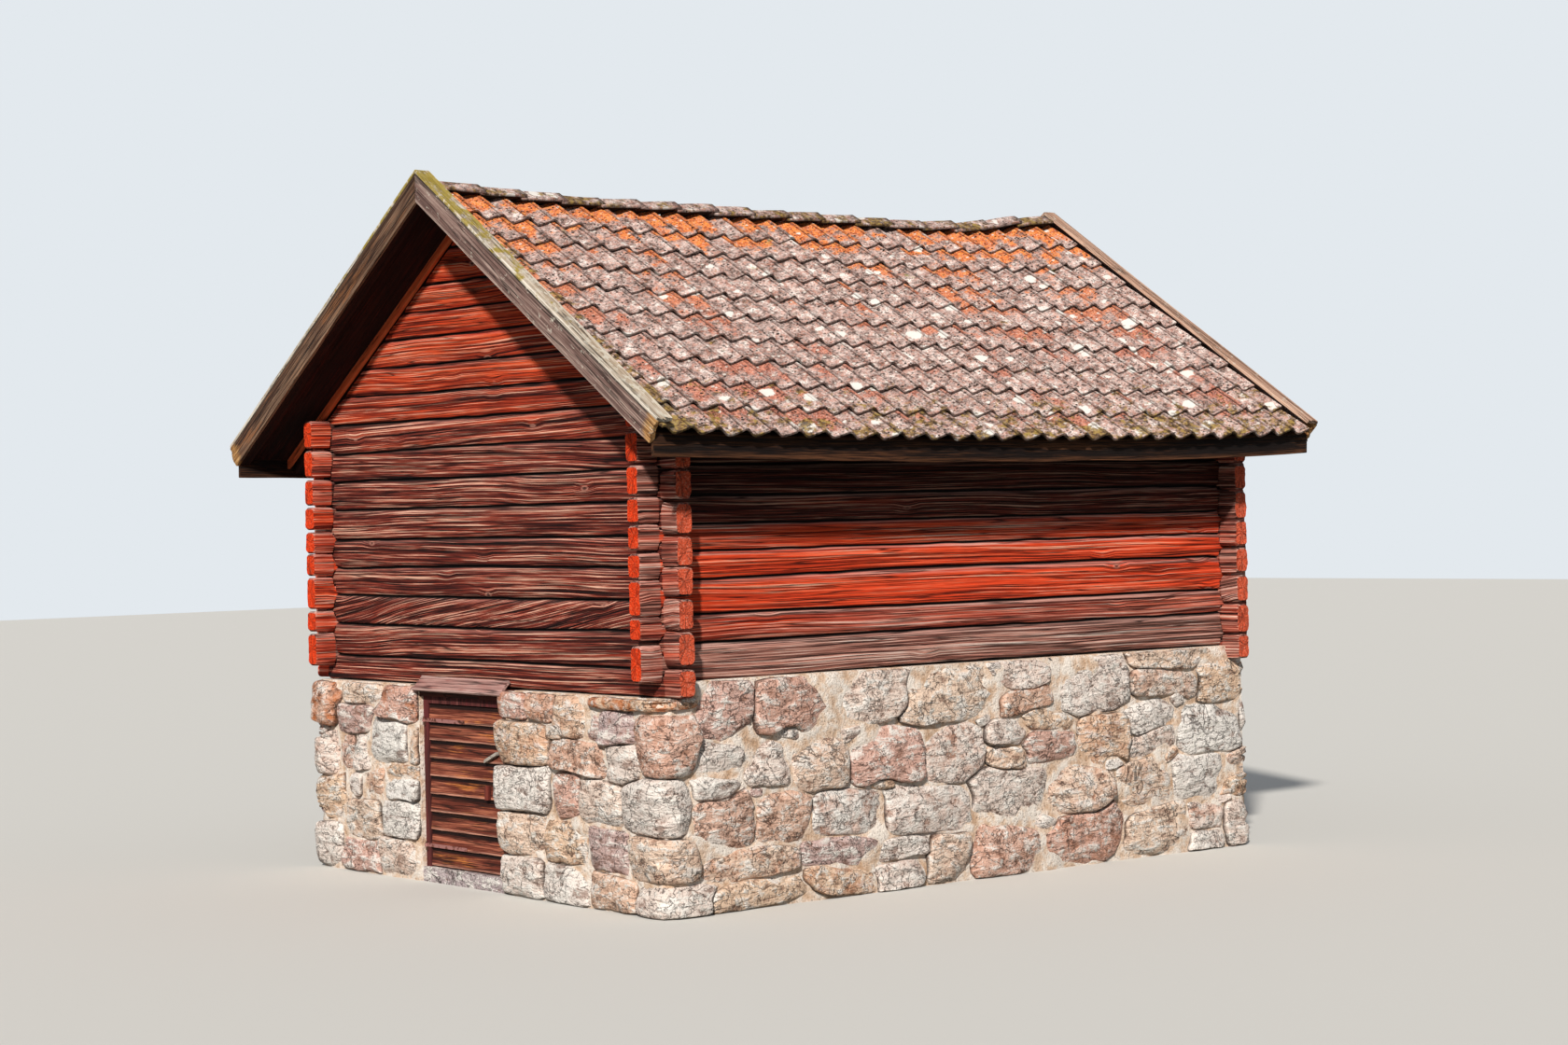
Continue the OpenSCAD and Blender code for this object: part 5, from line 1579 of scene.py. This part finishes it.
# %% Rafters, laths and trims
pairs = sorted({round(low[1], 3) for low, high in solids("inner_rafters")})
rafter_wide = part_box("front_rafters")[1][1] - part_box("front_rafters")[0][1]
foot, top, bottom = plumb_layer("inner_rafters")
inner = [slope_board(side, foot, top, bottom, y, y + rafter_wide, 70 + k * 2 + side, change=sagged)
         for k, y in enumerate(pairs) for side in (1, -1)]
piece("inner_rafters_sagged", inner, [SOFFIT_RED], BUILDING, "inner_timber", ["inner_rafters"])
for place, seed in (("front", 90), ("back", 100)):
    for name, node, step, wood, slot in (
            ("_rafters_painted", "_rafters", 0, SOFFIT_RED, "soffit_paint"),
            ("_laths", "_verge_laths", 3, SOFFIT_RED, "soffit_paint"),
            ("_trim_laths", "_trim", 6, TRIM_RED_PAINTED_SUN, "red_lath")):
        piece(place + name, both_slopes(place + node, seed + step), [wood], BUILDING, slot, [place + node])

# %% [markdown]
# The roof boards run down the slope, one beside another. They are as regular as the
# tiles, so the same tree lays them: one row, and as many columns as there are boards.

# %% Roof boards by the laying tree
foot, top, bottom = plumb_layer("roof_boards_right")
low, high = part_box("roof_boards_right")
DECK_WIDE, DECK_GAP, DECK_RINGS = 0.15, 0.002, 9
BOARD_COUNT = round((high[1] - low[1]) / DECK_WIDE)
board_step = (high[1] - low[1]) / BOARD_COUNT
deck_thick = bottom - top
board_tree, board_inputs = lay_tree("lay_roof_boards", SOFFIT_RED)


def deck_board():
    """A roof board from the ridge to the eave, plumb at both ends, with a narrow gap beside it."""
    near, far, rings = DECK_GAP / 2, board_step - DECK_GAP / 2, []
    for x in np.linspace(TRIM_GAP, foot / COS, DECK_RINGS):
        under = x + deck_thick * TAN
        rings += [(x, near, 0), (x, far, 0), (under, far, -deck_thick), (under, near, -deck_thick)]
    last = len(rings) - 4
    faces = skin(DECK_RINGS, 4) + [(3, 2, 1, 0), tuple(range(last, len(rings)))]
    mesh = bpy.data.meshes.new("one_roof_board")
    mesh.from_pydata(rings, [], [f[::-1] for f in faces])
    return mesh


for side, name, seed in ((1, "roof_boards_right", 5), (-1, "roof_boards_left", 9)):
    points, faces, tones = laid_out(deck_board(), board_tree, board_inputs, Rows=1, Columns=BOARD_COUNT,
                                    Column_step=board_step, Turn=0.0, Shift=0.0, Seed=seed)
    points = points + [0, low[1], 0]
    if side < 0:
        faces = [f[::-1] for f in faces]
    grain = points + xyz(tones * 40, tones * 9, 0)
    shaped = part(sagged(on_slope(points, side)), faces, grain=grain)
    piece(name + "_laid", [shaped], [SOFFIT_RED], BUILDING, "soffit_paint", [name])

# %% [markdown]
# The eave board closes the ends of rafters and roof boards. Its upper edge follows the
# slope of the roof boards, and the whole board hangs with the eave.

# %% Eave boards
def under_deck(points):
    """Cuts what rises over the top of the roof boards, and lowers the rest with the eave."""
    limit = deck_apex - np.abs(points[:, 0]) * TAN
    return sagged(xyz(points[:, 0], points[:, 1], np.minimum(points[:, 2], limit)))


for side, node, seed in ((1, "eave_board_right", 121), (-1, "eave_board_left", 123)):
    low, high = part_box(node)
    origin = ((low[0] + high[0]) / 2, low[1], (low[2] + high[2]) / 2)
    thing = board(origin, (0, 1, 0), (0, 0, 1), (side, 0, 0), high[1] - low[1], high[2] - low[2],
                  high[0] - low[0], seed, strips=5, wander=0.004, change=under_deck)
    piece(node + "_weathered", [thing], [EAVE_BROWN_SHADED], BUILDING, "eave_timber", [node])

# %% [markdown]
# ## Ridge tiles
# The ridge is covered by flat angled tiles, laid dry, each over the next. Frost and the
# sagging ridge have tipped them, so no two lie alike. Seen from the side they are thin
# grey slabs with a dark gap beneath them.

# %% Ridge tiles
RIDGE_CLAY = clay_tile("lichened_ridge_tile", lichen=0.25)
ridge_low, ridge_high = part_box("ridge_tiles")
RIDGE_COUNT = len(solids("ridge_tiles"))
RIDGE_LAP, RIDGE_THICK, RIDGE_ANGLE = 0.050, 0.015, ROOF_PITCH - math.radians(4)
# The bend at the crown is round for the first 12 mm to each side
CROWN, CROWN_DROP, RIDGE_RINGS = 0.012, 0.004, 7
ridge_cover = (ridge_high[1] - ridge_low[1] - RIDGE_LAP) / RIDGE_COUNT
WING_ROOM = 0.016
wing = ridge_high[0] - WING_ROOM
# Under its crown a tile is thickened down to the pantiles: how deep, and how far out
RIDGE_BED, BED_HALF = 0.075, 0.09
ridge_top = ridge_high[2] - RIDGE_THICK * 1.6
WING_SHARES = np.array([-1, -0.93, -0.6, -0.3, -0.12, -0.04, 0.04, 0.12, 0.3, 0.6, 0.93, 1])


def ridge_tile(number):
    """One angled tile, lying over the next one and tipped a little."""
    chance = np.random.default_rng(200 + number)
    lean, turn = chance.uniform(-0.07, 0.07), chance.uniform(-0.06, 0.06)
    lift = chance.uniform(-0.005, 0.007)
    start = ridge_low[1] + number * ridge_cover
    length = ridge_cover + RIDGE_LAP + chance.uniform(-0.012, 0.0)
    points = []
    for share in np.linspace(0, 1, RIDGE_RINGS):
        for layer in (0, 1):
            shares = WING_SHARES if layer == 0 else WING_SHARES[::-1]
            x = shares * wing * (0.985 if share in (0, 1) else 1.0)
            off = np.abs(x)
            fall = np.maximum(off - CROWN, 0) * math.tan(RIDGE_ANGLE)
            fall = fall + CROWN_DROP * np.minimum(off / CROWN, 1)
            fall = fall + layer * (RIDGE_THICK / COS + RIDGE_BED * np.clip(1 - off / BED_HALF, 0, 1))
            z = ridge_top - fall + (share - 0.2) * RIDGE_THICK * 1.5 + lift + x * lean
            points.append(xyz(x, start + share * length + x * turn, z))
    points = np.concatenate(points)
    points[:, 2] += 0.006 * rough(points + number * 5.1, 0.3, 2, 8)
    outward = np.clip(np.abs(points[:, 0]) / wing, 0, 1)
    points[:, 0] += 0.010 * ripple(points * (0.5, 9, 1) + number * 2.7, 12) * outward
    points[:, 2] = np.minimum(points[:, 2], ridge_high[2] - 0.001)
    count = 2 * len(WING_SHARES)
    faces = skin(RIDGE_RINGS, count) + [tuple(range(count)),
                                        tuple(range(len(points) - count, len(points)))[::-1]]
    # Painted shade: the undersides and end faces of the ridge tiles are darkened for the dark gap beneath
    # them
    under = np.tile(np.repeat([0.0, 1.0], len(WING_SHARES)), RIDGE_RINGS)
    under[-count:] = 0.9
    return face_out([part(sagged(points), faces, tone=chance.uniform(0.0, 0.6), down=0.8, bare=0.0,
                          dirt=under, moss=chance.uniform(0.06, 0.22))])[0]


piece("ridge_tiles_tipped", [ridge_tile(k) for k in range(RIDGE_COUNT)], [RIDGE_CLAY], BUILDING,
      "ridge_clay", ["ridge_tiles"], crease=30)

# %% [markdown]
# ## The cellar door and its frame
# Nine lapped boards make the leaf. Each is thick at its foot and thin at its top, so the
# leaf is stepped like clinker planking. The paint has nearly gone, and the rain has
# drawn grey streaks along the boards; orange patches on them are painted glints of sun.

# %% Lapped door boards
leaf = solids("door_boards")
THIN_EDGE, LEAF_RINGS = 0.018, 24
print(len(leaf), "lapped boards")


def lapped_board(low, high, number):
    """One board of the leaf: a wedge in section, with a worn lower edge."""
    length = high[0] - low[0]
    foot_back, foot_front = high[1], low[1]
    head_front = high[1] - THIN_EDGE
    # The lower edge is worn round, and the upper one is thin
    outline = [(foot_back, low[2]), (foot_front + 0.003, low[2]), (foot_front, low[2] + 0.004),
               (foot_front + 0.001, low[2] + 0.012)]
    outline += [(foot_front + (head_front - foot_front) * k / 5, low[2] + (high[2] - low[2]) * k / 5)
                for k in range(1, 5)]
    outline += [(head_front, high[2] - 0.001), (head_front + 0.002, high[2]), (foot_back, high[2])]
    count = len(outline)
    points = np.array([(low[0] + s, y, z) for s in np.linspace(0, length, LEAF_RINGS) for y, z in outline])
    front = np.clip((foot_back - points[:, 1]) / (foot_back - foot_front), 0, 1)
    spot = xyz(points[:, 0] * 3, points[:, 2] * 60, number * 3.3)
    points[:, 1] += front * 0.0015 * ripple(spot, 71)
    worn = np.clip(1 - (points[:, 2] - low[2]) / 0.02, 0, 1)
    points[:, 2] += worn * front * np.abs(0.003 * ripple(spot * (2, 0, 1), 72))
    grain = xyz(points[:, 0] + number * 4.7, points[:, 2] + number * 0.9, points[:, 1])
    level = (points[:, 2] - low[2]) / (high[2] - low[2])
    faces = skin(LEAF_RINGS, count) + [tuple(range(count)),
                                       tuple(range(len(points) - count, len(points)))[::-1]]
    return face_out([part(points, faces, grain=grain, level=level)])[0]


piece("door_boards_lapped", [lapped_board(low, high, k) for k, (low, high) in enumerate(leaf)],
      [DOOR_WOOD], DOOR, "door_timber", ["door_boards"], crease=30)

# %% [markdown]
# ### Forged iron, painted timber and stone
# The straps are flat iron, once painted, now pink-grey with rust. The solids of posts,
# ledges, button, wedge, joists and floor are right as they are, so they keep their
# meshes and get a finish.

# %% Finishes for the solids that stay
def old_iron(name, paint):
    """Forged iron with the last of its paint, and rust in the pits."""
    material, tree, shader = new_material(name)
    place = add(tree, "ShaderNodeTexCoord", get="Object")
    cloud = speckle(tree, place, 22.0, 5, 0.65)
    grit = speckle(tree, place, 240.0, 3, 0.7)
    colour = add(tree, "ShaderNodeValToRGB", cloud,
                 stops=[(0.34, "#4a2a22"), (0.42, "#7d4a3c"), (0.48, paint), (0.7, paint)])
    colour = coat(tree, colour, "#2c1b17", grit, 0.50, 0.35, 0.5)
    dull = add(tree, "ShaderNodeMapRange", cloud, 0.4, 0.6, 0.85, 0.6)
    finish(tree, shader, colour, dull, weighted(tree, (cloud, 1), (grit, 0.5)), 1.2, 0.4)
    shader.inputs["Metallic"].default_value = 0.2
    return material


QUARTER = math.pi / 2
UPRIGHT, ACROSS, ALONG_Y = (0, QUARTER, 0), (0, 0, 0), (0, 0, -QUARTER)
ALONG_WEDGE = (0, -0.38, 0)
wear("door_straps", old_iron("painted_wrought_iron", "#b07a74"))
wear("door_hinge_pins", old_iron("rusty_wrought_iron", "#5a3a2e"))
wear("threshold_stone", granite("threshold_granite"))
for node, name, tones, wash, turn in (
        ("door_frame", "maroon_frame_paint", ("#2a1414", "#5c2c2a", "#8a5550"), ("#62272a", 0.3), UPRIGHT),
        ("door_ledges", "door_ledge_wood", ("#3d2a22", "#6b4c3d", "#8b6a57"), (), UPRIGHT),
        ("door_wedge", "split_pale_wood", ("#8f857c", "#b3a99e", "#cfc7bd"), (), ALONG_WEDGE),
        ("door_button", "dull_red_button", ("#3c1a17", "#6e3029", "#9a5a4c"), ("#7d3429", 0.3), UPRIGHT),
        ("floor_joists", "bare_inner_pine", ("#5d4433", "#87684f", "#a88a6c"), (), ACROSS),
        ("floor_boards", "floor_pine", ("#5d4433", "#846650", "#a18468"), (), ALONG_Y),
        ("door_lintel", "dark_lintel_log", ("#22130f", "#46271f", "#6a4234"), ("#5c2a20", 0.3), ACROSS)):
    wear(node, board_finish(name, *tones, *wash, turn=turn))

# %% [markdown]
# ### Drip board
# A sloping board throws the rain off over the door. Its thin front edge is pale with wear
# and a painted highlight, and its ends are split.

# %% Drip board
low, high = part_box("drip_board")
drip_thick = 0.024
DRIP_WORN, DRIP_SHORT = 0.004, drip_thick * 0.6
drip_angle = math.atan2(high[2] - low[2] - drip_thick * math.sqrt(2), high[1] - low[1])
across = np.array([0, -math.cos(drip_angle), -math.sin(drip_angle)])
out = np.array([0, -math.sin(drip_angle), math.cos(drip_angle)])
drip_wide = (high[1] - low[1]) / math.cos(drip_angle)
middle = np.array([low[0], (low[1] + high[1]) / 2, (low[2] + high[2]) / 2])
drip = board(middle, (1, 0, 0), across, out, high[0] - low[0], drip_wide - DRIP_SHORT,
             drip_thick - DRIP_WORN, 131, strips=7, wander=0.003, torn=(0.02, 0.02))
piece("drip_board_weathered", [drip], [DRIP_GREY], BUILDING, "drip_timber", ["drip_board"])
